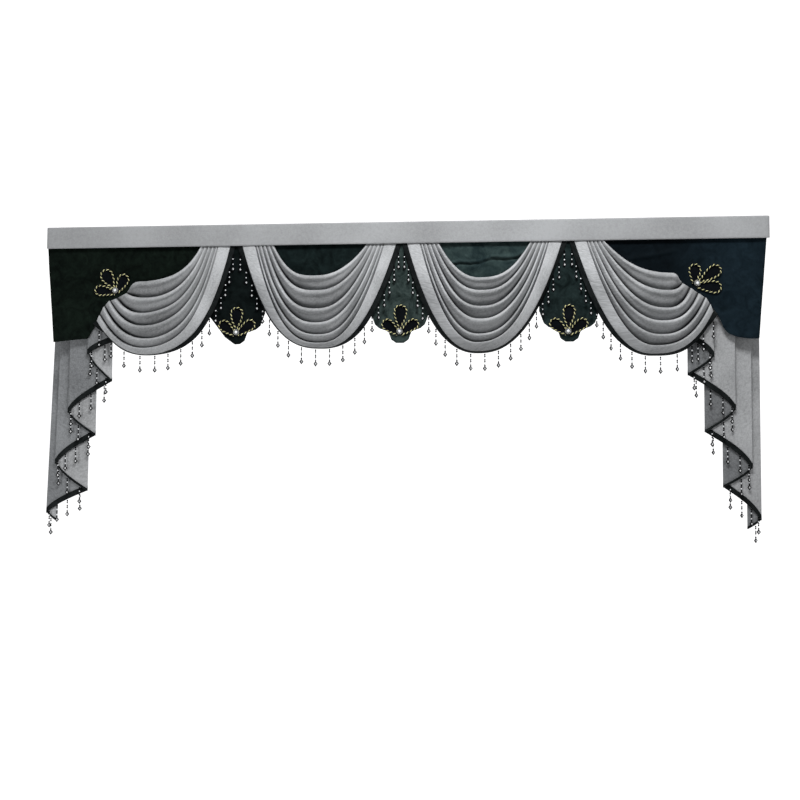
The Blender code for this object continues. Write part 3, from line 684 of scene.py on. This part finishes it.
TAILS = [
    Tail("left", 0.13, [
        TailFold(-1.213, -0.484, 2), TailFold(-1.326, -0.538, 3), TailFold(-1.226, -0.654, 4),
        TailFold(-1.414, -0.786, 3), TailFold(-1.303, -0.883, 4), TailFold(-1.475, -1.003, 3),
        TailFold(-1.341, -1.118, 4), TailFold(-1.518, -1.213, 1), TailFold(-1.475, -1.251, 0)]),
    Tail("right", 0.0, [
        TailFold(1.186, -0.494, 2), TailFold(1.278, -0.566, 3), TailFold(1.180, -0.641, 4),
        TailFold(1.364, -0.782, 3), TailFold(1.249, -0.872, 4), TailFold(1.432, -1.019, 3),
        TailFold(1.323, -1.096, 4), TailFold(1.469, -1.229, 1), TailFold(1.417, -1.266, 0)]),
]


def across_layer(folds, layer, share):
    """Place on a layer's hem: the cloth turns softly at outer folds and sharply at inner ones."""
    start, end = folds[layer], folds[layer + 1]
    outer_share = share if layer % 2 == 0 else 1.0 - share
    soft = 0.45 * outer_share + 0.55 * math.sin(outer_share * math.pi / 2)
    place = soft if layer % 2 == 0 else 1.0 - soft
    return start.x + (end.x - start.x) * place, start.z + (end.z - start.z) * share


def tail_columns(folds):
    """Columns of a tail from its front layer to its back one, with a round turn at each fold."""
    columns = []
    layers = len(folds) - 1
    for layer in range(layers):
        height = TAIL_TRIM_FACE if layer % 2 == 0 else TAIL_TRIM_REVERSE
        other = TAIL_TRIM_REVERSE if layer % 2 == 0 else TAIL_TRIM_FACE
        for share in np.linspace(0.0, 1.0, 17):
            x, z = across_layer(folds, layer, share)
            columns.append(TailColumn(x, z, layer, share, 0.0, 0.0, height))
        if layer + 1 < layers:
            end = folds[layer + 1]
            outwards = math.copysign(1.0, end.x - folds[layer].x)
            for angle in np.radians((-55, -28, 0, 28, 55)):
                turn = (1.0 + math.sin(angle)) / 2
                trim = height + (other - height) * turn
                columns.append(TailColumn(end.x, end.z, layer, 1.0, turn,
                                          outwards * math.cos(angle), trim))
    return columns


def tail_point(tail, column, z):
    """A point on a tail's middle surface, on one column at height z."""
    root_x = tail.folds[0].x
    lowest = tail.folds[-1].z
    spread = (1.0 - tail.flare * (z - lowest)) / (1.0 - tail.flare * (column.z - lowest))
    opening = min(max((z - TAIL_OPEN_FROM) / (TAIL_OPEN_TO - TAIL_OPEN_FROM), 0.0), 1.0)
    gap = TURN_DEPTH + TURN_OPENS * opening
    slant = LAYER_SLANT + SLANT_OPENS * opening
    x = root_x + (column.x - root_x) * spread
    phase = 2 * math.pi * (x - root_x) / TAIL_WAVE_LENGTH
    wave = TAIL_WAVE * opening * (1.0 - math.cos(phase)) / 2
    depth = column.layer * (gap + slant) + column.share * slant + column.turn * gap + wave
    return (x + column.bulge * FOLD_BULGE * opening, TAIL_BASE + depth, z)


for tail in TAILS:
    columns = tail_columns(tail.folds)
    rows = [[tail_point(tail, column, TUCK_Z) for column in columns]]
    for share in np.linspace(0.0, 1.0, 56):
        rows.append([tail_point(tail, column, TAIL_OPEN_FROM * (1.0 - share)
                                + (column.z + column.trim) * share) for column in columns])
    # Every second layer shows the back chenille, painted darker as shade from the layer in front.
    cloth = closed_sheet(f"tail_{tail.side}_cloth", np.array(rows), TAIL_CLOTH,
                         grey_tail_lit, grey_reverse_shaded)
    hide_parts(f"tail_{tail.side}")
    strip = [[tail_point(tail, column, column.z + (column.trim - GAP - TAIL_CLOTH / 2) * share)
              for column in columns] for share in (1.0, 0.9, 0.6, 0.3, 0.08, 0.0)]
    tail_trim = closed_sheet(f"tail_trim_{tail.side}_cloth", np.array(strip),
                             TAIL_TRIM_CLOTH, trim_velvet)
    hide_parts(f"tail_trim_{tail.side}")
    for layer, fold in enumerate(tail.folds[:-1]):
        for step in range(fold.strands):
            share = (step + 0.5) / fold.strands
            x, z = across_layer(tail.folds, layer, share)
            root = tail_point(tail, TailColumn(x, z, layer, share, 0.0, 0.0, 0.0), z)
            strand_roots.append((root[0], root[1] - STRAND_FORWARD, root[2]))

# Bead strands: each is a thread of small glass beads, two dark and one clear in turn, with a cut
# crystal drop at its foot, 73 mm in all. They hang from the outer edge of the trims.
DARK_BEAD_RADIUS = 0.0036
CLEAR_BEAD_RADIUS = 0.0026
BEAD_PITCH = 0.0073
BEADS_ON_STRAND = 7
CRYSTAL_HALF_WIDTH = 0.0090
CRYSTAL_HALF_HEIGHT = 0.0118
CRYSTAL_DROP = 0.0640


def glass_bead(name, colour, roughness, metallic, shine, painted_glint=0.0):
    """Cut or pressed glass: hard shine, uneven from bead to bead, and a glow as painted highlight.
    """
    material, tree, shader = new_material(name, roughness, shine)
    shader.inputs["Metallic"].default_value = metallic
    shader.inputs["Emission Color"].default_value = (*colour, 1.0)
    shader.inputs["Emission Strength"].default_value = painted_glint
    place = add_node(tree, "ShaderNodeTexCoord").outputs["Object"]
    lot = add_node(tree, "ShaderNodeTexNoise", {"Vector": place, "Scale": 120.0, "Detail": 1.0})
    dim = tuple(0.6 * part for part in colour)
    tree.links.new(colour_steps(tree, lot.outputs["Fac"], [(0.35, dim), (0.65, colour)]),
                   shader.inputs["Base Color"])
    return material


dark_bead = glass_bead("dark_bead_glass", (0.004, 0.004, 0.005), 0.50, 0.0, 0.03)
# Painted light: near white, with a glow, for glass highlights and the light seen through it.
clear_bead_painted = glass_bead("clear_bead_painted_light", (0.80, 0.82, 0.84), 0.25, 0.1, 0.4, 0.30)
# Painted shade: near black, for the dark refraction at a crystal's edges.
crystal_side_painted_dark = glass_bead("crystal_side_painted_dark", (0.006, 0.006, 0.007), 0.45, 0.0, 0.04)
# Painted light: pale, with a glow, for glass highlights and the light seen through it.
crystal_table = glass_bead("crystal_table", (0.70, 0.71, 0.72), 0.20, 0.1, 0.4, 0.20)


def new_tree(name, inputs):
    """A geometry tree with its named inputs, and its group input and output nodes."""
    tree = bpy.data.node_groups.new(name, "GeometryNodeTree")
    tree.interface.new_socket("Geometry", in_out="INPUT", socket_type="NodeSocketGeometry")
    for label, kind in inputs:
        tree.interface.new_socket(label, in_out="INPUT", socket_type=f"NodeSocket{kind}")
    tree.interface.new_socket("Geometry", in_out="OUTPUT", socket_type="NodeSocketGeometry")
    start = tree.nodes.new("NodeGroupInput")
    end = tree.nodes.new("NodeGroupOutput")
    return tree, start, end


def grown(name, base, tree, values):
    """The plain mesh that a tree makes on a base object, with the tree's inputs set by name."""
    carrier = add_object(f"{name}_base", base)
    modifier = carrier.modifiers.new("grow", "NODES")
    modifier.node_group = tree
    sockets = {item.name: item.identifier for item in tree.interface.items_tree
               if item.in_out == "INPUT"}
    for label, value in values.items():
        modifier[sockets[label]] = value
    seen = carrier.evaluated_get(bpy.context.evaluated_depsgraph_get())
    mesh = bpy.data.meshes.new_from_object(seen)
    mesh.name = name
    bpy.data.objects.remove(carrier)
    return hung_piece(name, mesh)


def bead_tree():
    """Beads on a thread below every root: the dark ones, or the clear ones between them."""
    tree, start, end = new_tree("bead_strands", [
        ("Bead Radius", "Float"), ("Bead Pitch", "Float"), ("Bead Count", "Int"),
        ("Clear Ones", "Bool"), ("Bead Material", "Material")])
    given = start.outputs
    down = add_node(tree, "ShaderNodeMath", {0: given["Bead Pitch"], 1: -1.0},
                    operation="MULTIPLY")
    pitch = add_node(tree, "ShaderNodeCombineXYZ", {"Z": down.outputs[0]})
    thread = add_node(tree, "GeometryNodeMeshLine", {
        "Count": given["Bead Count"], "Start Location": pitch.outputs[0],
        "Offset": pitch.outputs[0]})
    bead = add_node(tree, "GeometryNodeMeshUVSphere", {
        "Segments": 8, "Rings": 5, "Radius": given["Bead Radius"]})
    place = add_node(tree, "GeometryNodeInputIndex")
    third = add_node(tree, "ShaderNodeMath", {0: place.outputs[0], 1: 3.0}, operation="MODULO")
    is_clear = add_node(tree, "FunctionNodeCompare", {0: third.outputs[0], 1: 1.5},
                        data_type="FLOAT", operation="GREATER_THAN")
    pick = add_node(tree, "FunctionNodeBooleanMath",
                    {0: is_clear.outputs[0], 1: given["Clear Ones"]}, operation="XNOR")
    strand = add_node(tree, "GeometryNodeInstanceOnPoints", {
        "Points": thread.outputs["Mesh"], "Selection": pick.outputs[0],
        "Instance": bead.outputs["Mesh"]})
    hung = add_node(tree, "GeometryNodeInstanceOnPoints", {
        "Points": given["Geometry"], "Instance": strand.outputs["Instances"]})
    real = add_node(tree, "GeometryNodeRealizeInstances", {"Geometry": hung.outputs["Instances"]})
    smooth = add_node(tree, "GeometryNodeSetShadeSmooth", {"Geometry": real.outputs["Geometry"]})
    finish = add_node(tree, "GeometryNodeSetMaterial", {
        "Geometry": smooth.outputs["Geometry"], "Material": given["Bead Material"]})
    tree.links.new(finish.outputs["Geometry"], end.inputs[0])
    return tree


def crystal_tree():
    """A flat cut crystal below every root: two square frustums back to back, tables painted pale.
    """
    tree, start, end = new_tree("crystal_drops", [
        ("Half Width", "Float"), ("Half Height", "Float"), ("Drop", "Float"), ("Swing", "Float"),
        ("Side Material", "Material"), ("Table Material", "Material")])
    given = start.outputs
    cone = add_node(tree, "GeometryNodeMeshCone",
                    {"Vertices": 4, "Radius Top": 0.42, "Radius Bottom": 1.0, "Depth": 0.34})
    marked = add_node(tree, "GeometryNodeStoreNamedAttribute",
                      {"Name": "table", "Geometry": cone.outputs["Mesh"],
                       "Value": cone.outputs["Top"]}, data_type="BOOLEAN", domain="FACE")
    both = add_node(tree, "GeometryNodeJoinGeometry")
    for angle in (math.radians(90), math.radians(-90)):
        turned = add_node(tree, "GeometryNodeTransform", {
            "Geometry": marked.outputs["Geometry"], "Rotation": (angle, 0.0, 0.0)})
        tree.links.new(turned.outputs["Geometry"], both.inputs["Geometry"])
    size = add_node(tree, "ShaderNodeCombineXYZ", {
        "X": given["Half Width"], "Y": given["Half Width"], "Z": given["Half Height"]})
    down = add_node(tree, "ShaderNodeMath", {0: given["Drop"], 1: -1.0}, operation="MULTIPLY")
    drop = add_node(tree, "ShaderNodeCombineXYZ", {"Z": down.outputs[0]})
    placed = add_node(tree, "GeometryNodeTransform", {
        "Geometry": both.outputs["Geometry"], "Scale": size.outputs[0],
        "Translation": drop.outputs[0]})
    swing = add_node(tree, "FunctionNodeRandomValue", {"Seed": 7, 3: given["Swing"]},
                     data_type="FLOAT")
    spin = add_node(tree, "ShaderNodeCombineXYZ", {"Z": swing.outputs[1]})
    hung = add_node(tree, "GeometryNodeInstanceOnPoints", {
        "Points": given["Geometry"], "Instance": placed.outputs["Geometry"],
        "Rotation": spin.outputs[0]})
    real = add_node(tree, "GeometryNodeRealizeInstances", {"Geometry": hung.outputs["Instances"]})
    sides = add_node(tree, "GeometryNodeSetMaterial", {
        "Geometry": real.outputs["Geometry"], "Material": given["Side Material"]})
    is_table = add_node(tree, "GeometryNodeInputNamedAttribute", {"Name": "table"},
                        data_type="BOOLEAN")
    finish = add_node(tree, "GeometryNodeSetMaterial", {
        "Geometry": sides.outputs["Geometry"], "Selection": is_table.outputs["Attribute"],
        "Material": given["Table Material"]})
    tree.links.new(finish.outputs["Geometry"], end.inputs[0])
    return tree


roots = bpy.data.meshes.new("strand_roots")
roots.from_pydata(strand_roots, [], [])
beads = bead_tree()
dark_beads = grown("strand_beads_dark", roots, beads,
                   {"Bead Radius": DARK_BEAD_RADIUS, "Bead Pitch": BEAD_PITCH,
                    "Bead Count": BEADS_ON_STRAND, "Clear Ones": False, "Bead Material": dark_bead})
clear_beads = grown("strand_beads_clear", roots, beads,
                    {"Bead Radius": CLEAR_BEAD_RADIUS, "Bead Pitch": BEAD_PITCH,
                     "Bead Count": BEADS_ON_STRAND, "Clear Ones": True,
                     "Bead Material": clear_bead_painted})
crystals = grown("strand_crystals", roots, crystal_tree(),
                 {"Half Width": CRYSTAL_HALF_WIDTH, "Half Height": CRYSTAL_HALF_HEIGHT,
                  "Drop": CRYSTAL_DROP, "Swing": 0.5,
                  "Side Material": crystal_side_painted_dark, "Table Material": crystal_table})

# Rope flowers: five flowers of one twisted rope each, two black plies and a pale gold one laid
# round each other, bent into three open petals. Each is sewn on a dark patch, with a crystal
# cluster at its root.
ROPE_PLY = 0.0016
ROPE_LAY = 0.0018
ROPE_PITCH = 0.0165
PATCH_CLOTH = 0.0015
PETAL_ROOT = 0.017
PETAL_ROOT_HALF = 0.0055
OPEN_ROOT = 0.002
OPEN_ROOT_HALF = 0.018
ROPE_STEP = 0.0016
ROPE_ARC_POINTS = 9
PATCH_ARC_POINTS = 21
Flower = namedtuple("Flower", "name x z back petals")
Petal = namedtuple("Petal", "rise_angle length half_width")
FLOWERS = [
    Flower("end_left", -1.205, -0.269, PANEL_FRONT,
           (Petal(180, 0.086, 0.020), Petal(121, 0.098, 0.025), Petal(51, 0.079, 0.023))),
    Flower("pendant_left", -0.683, -0.452, PENDANT_FRONT,
           (Petal(152, 0.080, 0.022), Petal(88, 0.103, 0.024), Petal(27, 0.087, 0.021))),
    Flower("pendant_mid", 0.004, -0.454, PENDANT_FRONT,
           (Petal(151, 0.080, 0.022), Petal(87, 0.108, 0.025), Petal(27, 0.085, 0.021))),
    Flower("pendant_right", 0.695, -0.459, PENDANT_FRONT,
           (Petal(150, 0.082, 0.022), Petal(87, 0.107, 0.023), Petal(28, 0.086, 0.021))),
    Flower("end_right", 1.215, -0.268, PANEL_FRONT,
           (Petal(100, 0.077, 0.022), Petal(35, 0.110, 0.023), Petal(-14, 0.096, 0.023))),
]


def rope_thread(name, dark, light):
    """Shiny rayon thread wound round a ply, seen as fine ridges."""
    material, tree, shader = cloth_shader(name, 0.45, 0.2, 0.2, 0.3, (1.0, 0.95, 0.8))
    place = add_node(tree, "ShaderNodeTexCoord").outputs["Object"]
    strands = add_node(tree, "ShaderNodeTexNoise", {"Vector": place, "Scale": 700.0, "Detail": 2.0})
    tree.links.new(colour_steps(tree, strands.outputs["Fac"], [(0.35, dark), (0.62, light)]),
                   shader.inputs["Base Color"])
    raise_pile(tree, shader, strands.outputs["Fac"], 0.5, 0.0004)
    return material


gold_thread = rope_thread("gold_thread", (0.60, 0.55, 0.20), (0.98, 0.95, 0.55))
black_thread = rope_thread("black_thread", (0.004, 0.005, 0.005), (0.020, 0.022, 0.022))


def petal_points(petal, arc_points, open_sides):
    """Centre line of one petal: leg, round tip, leg. An open leg runs on below the crystal."""
    rise_angle = math.radians(petal.rise_angle)
    axis = Vector((math.cos(rise_angle), math.sin(rise_angle)))
    across = Vector((axis.y, -axis.x))
    tip_centre = petal.length - petal.half_width
    middle_leg = (PETAL_ROOT + tip_centre) / 2
    legs = []
    for side in (-1, 1):
        if side in open_sides:
            root, root_half, leg_half = OPEN_ROOT, OPEN_ROOT_HALF, petal.half_width
        else:
            root, root_half = PETAL_ROOT, PETAL_ROOT_HALF
            leg_half = 0.3 * PETAL_ROOT_HALF + 0.7 * petal.half_width
        legs.append([axis * root + across * side * root_half,
                     axis * middle_leg + across * side * leg_half])
    points = legs[0]
    for i in range(arc_points):
        angle = math.pi * i / (arc_points - 1)
        reach = tip_centre + petal.half_width * math.sin(angle)
        points.append(axis * reach - across * petal.half_width * math.cos(angle))
    return points + legs[1][::-1]


def rope_line(petals, arc_points):
    """Centre line of a flower's rope, petal after petal, with a short turn between two petals."""
    points = []
    last = len(petals) - 1
    for i, petal in enumerate(petals):
        points += petal_points(petal, arc_points, [-1] * (i == 0) + [1] * (i == last))
        if i < last:
            between = math.radians((petal.rise_angle + petals[i + 1].rise_angle) / 2)
            turn = Vector((math.cos(between), math.sin(between)))
            points.append(turn * (PETAL_ROOT - PETAL_ROOT_HALF))
    return points


def rope_tree():
    """One ply of a twisted rope: it winds round the given line at a set pitch and phase."""
    tree, start, end = new_tree("rope_ply", [
        ("Ply Radius", "Float"), ("Lay Radius", "Float"), ("Twist Pitch", "Float"),
        ("Phase", "Float"), ("Thread", "Material")])
    given = start.outputs
    fine = add_node(tree, "GeometryNodeResampleCurve",
                    {"Curve": given["Geometry"], "Length": ROPE_STEP}, mode="LENGTH")
    run = add_node(tree, "GeometryNodeSplineParameter")
    turns = add_node(tree, "ShaderNodeMath",
                     {0: run.outputs["Length"], 1: given["Twist Pitch"]}, operation="DIVIDE")
    angle = add_node(tree, "ShaderNodeMath", {
        0: turns.outputs[0], 1: 2 * math.pi, 2: given["Phase"]}, operation="MULTIPLY_ADD")
    tangent = add_node(tree, "GeometryNodeInputTangent")
    side = add_node(tree, "ShaderNodeVectorMath",
                    {0: tangent.outputs[0], 1: (0.0, 1.0, 0.0)}, operation="CROSS_PRODUCT")
    parts = []
    for operation, vector in (("COSINE", side.outputs[0]), ("SINE", (0.0, 1.0, 0.0))):
        wave = add_node(tree, "ShaderNodeMath", {0: angle.outputs[0]}, operation=operation)
        parts.append(add_node(tree, "ShaderNodeVectorMath",
                              {0: vector, "Scale": wave.outputs[0]}, operation="SCALE"))
    total = add_node(tree, "ShaderNodeVectorMath",
                     {0: parts[0].outputs[0], 1: parts[1].outputs[0]}, operation="ADD")
    offset = add_node(tree, "ShaderNodeVectorMath",
                      {0: total.outputs[0], "Scale": given["Lay Radius"]}, operation="SCALE")
    wound = add_node(tree, "GeometryNodeSetPosition",
                     {"Geometry": fine.outputs["Curve"], "Offset": offset.outputs[0]})
    section = add_node(tree, "GeometryNodeCurvePrimitiveCircle",
                       {"Resolution": 8, "Radius": given["Ply Radius"]})
    tube = add_node(tree, "GeometryNodeCurveToMesh", {
        "Curve": wound.outputs["Geometry"], "Profile Curve": section.outputs["Curve"],
        "Fill Caps": True})
    real = add_node(tree, "GeometryNodeRealizeInstances", {"Geometry": tube.outputs["Mesh"]})
    finish = add_node(tree, "GeometryNodeSetMaterial", {
        "Geometry": real.outputs["Geometry"], "Material": given["Thread"]})
    tree.links.new(finish.outputs["Geometry"], end.inputs[0])
    return tree


ply_tree = rope_tree()
flower_patch_velvet = crushed_velvet("patch_velvet", (0.0014, 0.0020, 0.0030),
                                     (0.0045, 0.0062, 0.0085), 0.002)
ROPE_PLIES = (("gold", gold_thread), ("black", black_thread), ("dark", black_thread))
for flower in FLOWERS:
    patch_front = flower.back - GAP - PATCH_CLOTH
    rope_y = patch_front - GAP - ROPE_LAY - ROPE_PLY
    line = rope_line(flower.petals, ROPE_ARC_POINTS)
    curve = bpy.data.curves.new(f"rope_line_{flower.name}", "CURVE")
    curve.dimensions = "3D"
    spline = curve.splines.new("BEZIER")
    spline.bezier_points.add(len(line) - 1)
    for bezier, place in zip(spline.bezier_points, line):
        bezier.co = (flower.x + place.x, rope_y, flower.z + place.y)
        bezier.handle_left_type = bezier.handle_right_type = "AUTO"
    for turn, (ply, thread) in enumerate(ROPE_PLIES):
        rope = grown(f"rope_{ply}_{flower.name}", curve, ply_tree,
                     {"Ply Radius": ROPE_PLY, "Lay Radius": ROPE_LAY, "Twist Pitch": ROPE_PITCH,
                      "Phase": turn * 2 * math.pi / len(ROPE_PLIES), "Thread": thread})
        rope.data.shade_smooth()
        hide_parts(f"flower_rope_{flower.name}")
    outline = rope_line(flower.petals, PATCH_ARC_POINTS)
    bm = bmesh.new()
    front, back = ([bm.verts.new((flower.x + place.x, y, flower.z + place.y)) for place in outline]
                   for y in (patch_front, patch_front + PATCH_CLOTH))
    bm.faces.new(front)
    bm.faces.new(back[::-1])
    for i in range(len(outline)):
        bm.faces.new((front[i - 1], back[i - 1], back[i], front[i]))
    bmesh.ops.recalc_face_normals(bm, faces=bm.faces[:])
    patch_mesh = bpy.data.meshes.new(f"flower_patch_{flower.name}_cloth")
    bm.to_mesh(patch_mesh)
    bm.free()
    patch_mesh.materials.append(flower_patch_velvet)
    patch = hung_piece(patch_mesh.name, patch_mesh)
    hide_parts(f"flower_patch_{flower.name}")

# Crystal clusters: a round silvered setting at the root of each flower, with one large cut stone
# in the middle and eight small ones round it.
STONE_SIDES = 8
SETTING_RADIUS, SETTING_DEPTH = 0.0140, 0.0035
LARGE_STONE_RADIUS, LARGE_STONE_DEPTH = 0.0062, 0.0055
SMALL_STONES = 8
SMALL_STONE_RADIUS, SMALL_STONE_DEPTH = 0.0034, 0.0040
SMALL_STONE_RING, SMALL_STONE_FORWARD = 0.0100, 0.0022
# Painted light: the stones are pale, with a glow, for the sparkle of cut glass.
stone_painted_light = glass_bead("stone_painted_light", (0.92, 0.94, 0.96), 0.12, 0.15, 0.5, 0.35)
small_stone_painted_light = glass_bead("small_stone_painted_light", (0.50, 0.52, 0.52), 0.15, 0.3, 0.5, 0.05)
setting_metal = glass_bead("setting_metal", (0.10, 0.09, 0.06), 0.35, 0.6, 0.4)


def cut_stone(bm, x, y, z, radius, depth):
    """A brilliant: a table and a crown in front of its girdle, on a short base."""
    rings = ((0.55, -depth), (1.0, -0.45 * depth), (0.92, 0.0))
    loops = []
    for share, forward in rings:
        loops.append([bm.verts.new((x + radius * share * math.cos(2 * math.pi * i / STONE_SIDES),
                                    y + forward,
                                    z + radius * share * math.sin(2 * math.pi * i / STONE_SIDES)))
                      for i in range(STONE_SIDES)])
    faces = [bm.faces.new(loops[0]), bm.faces.new(loops[-1][::-1])]
    for upper, lower in zip(loops, loops[1:]):
        for i in range(STONE_SIDES):
            j = (i + 1) % STONE_SIDES
            faces.append(bm.faces.new((upper[i], lower[i], lower[j], upper[j])))
    return faces


for flower in FLOWERS:
    patch_front = flower.back - GAP - PATCH_CLOTH
    base_y = patch_front - GAP
    bm = bmesh.new()
    cut_stone(bm, flower.x, base_y, flower.z, SETTING_RADIUS, SETTING_DEPTH)
    large = cut_stone(bm, flower.x, base_y - SETTING_DEPTH, flower.z,
                      LARGE_STONE_RADIUS, LARGE_STONE_DEPTH)
    stones = []
    for i in range(SMALL_STONES):
        angle = 2 * math.pi * (i + 0.5) / SMALL_STONES
        stones += cut_stone(bm, flower.x + SMALL_STONE_RING * math.cos(angle),
                            base_y - SMALL_STONE_FORWARD,
                            flower.z + SMALL_STONE_RING * math.sin(angle),
                            SMALL_STONE_RADIUS, SMALL_STONE_DEPTH)
    for face in large:
        face.material_index = 1
    for face in stones:
        face.material_index = 2
    bmesh.ops.recalc_face_normals(bm, faces=bm.faces[:])
    cluster_mesh = bpy.data.meshes.new(f"crystal_{flower.name}_cluster")
    bm.to_mesh(cluster_mesh)
    bm.free()
    for material in (setting_metal, stone_painted_light, small_stone_painted_light):
        cluster_mesh.materials.append(material)
    cluster = hung_piece(cluster_mesh.name, cluster_mesh)
    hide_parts(f"crystal_{flower.name}")
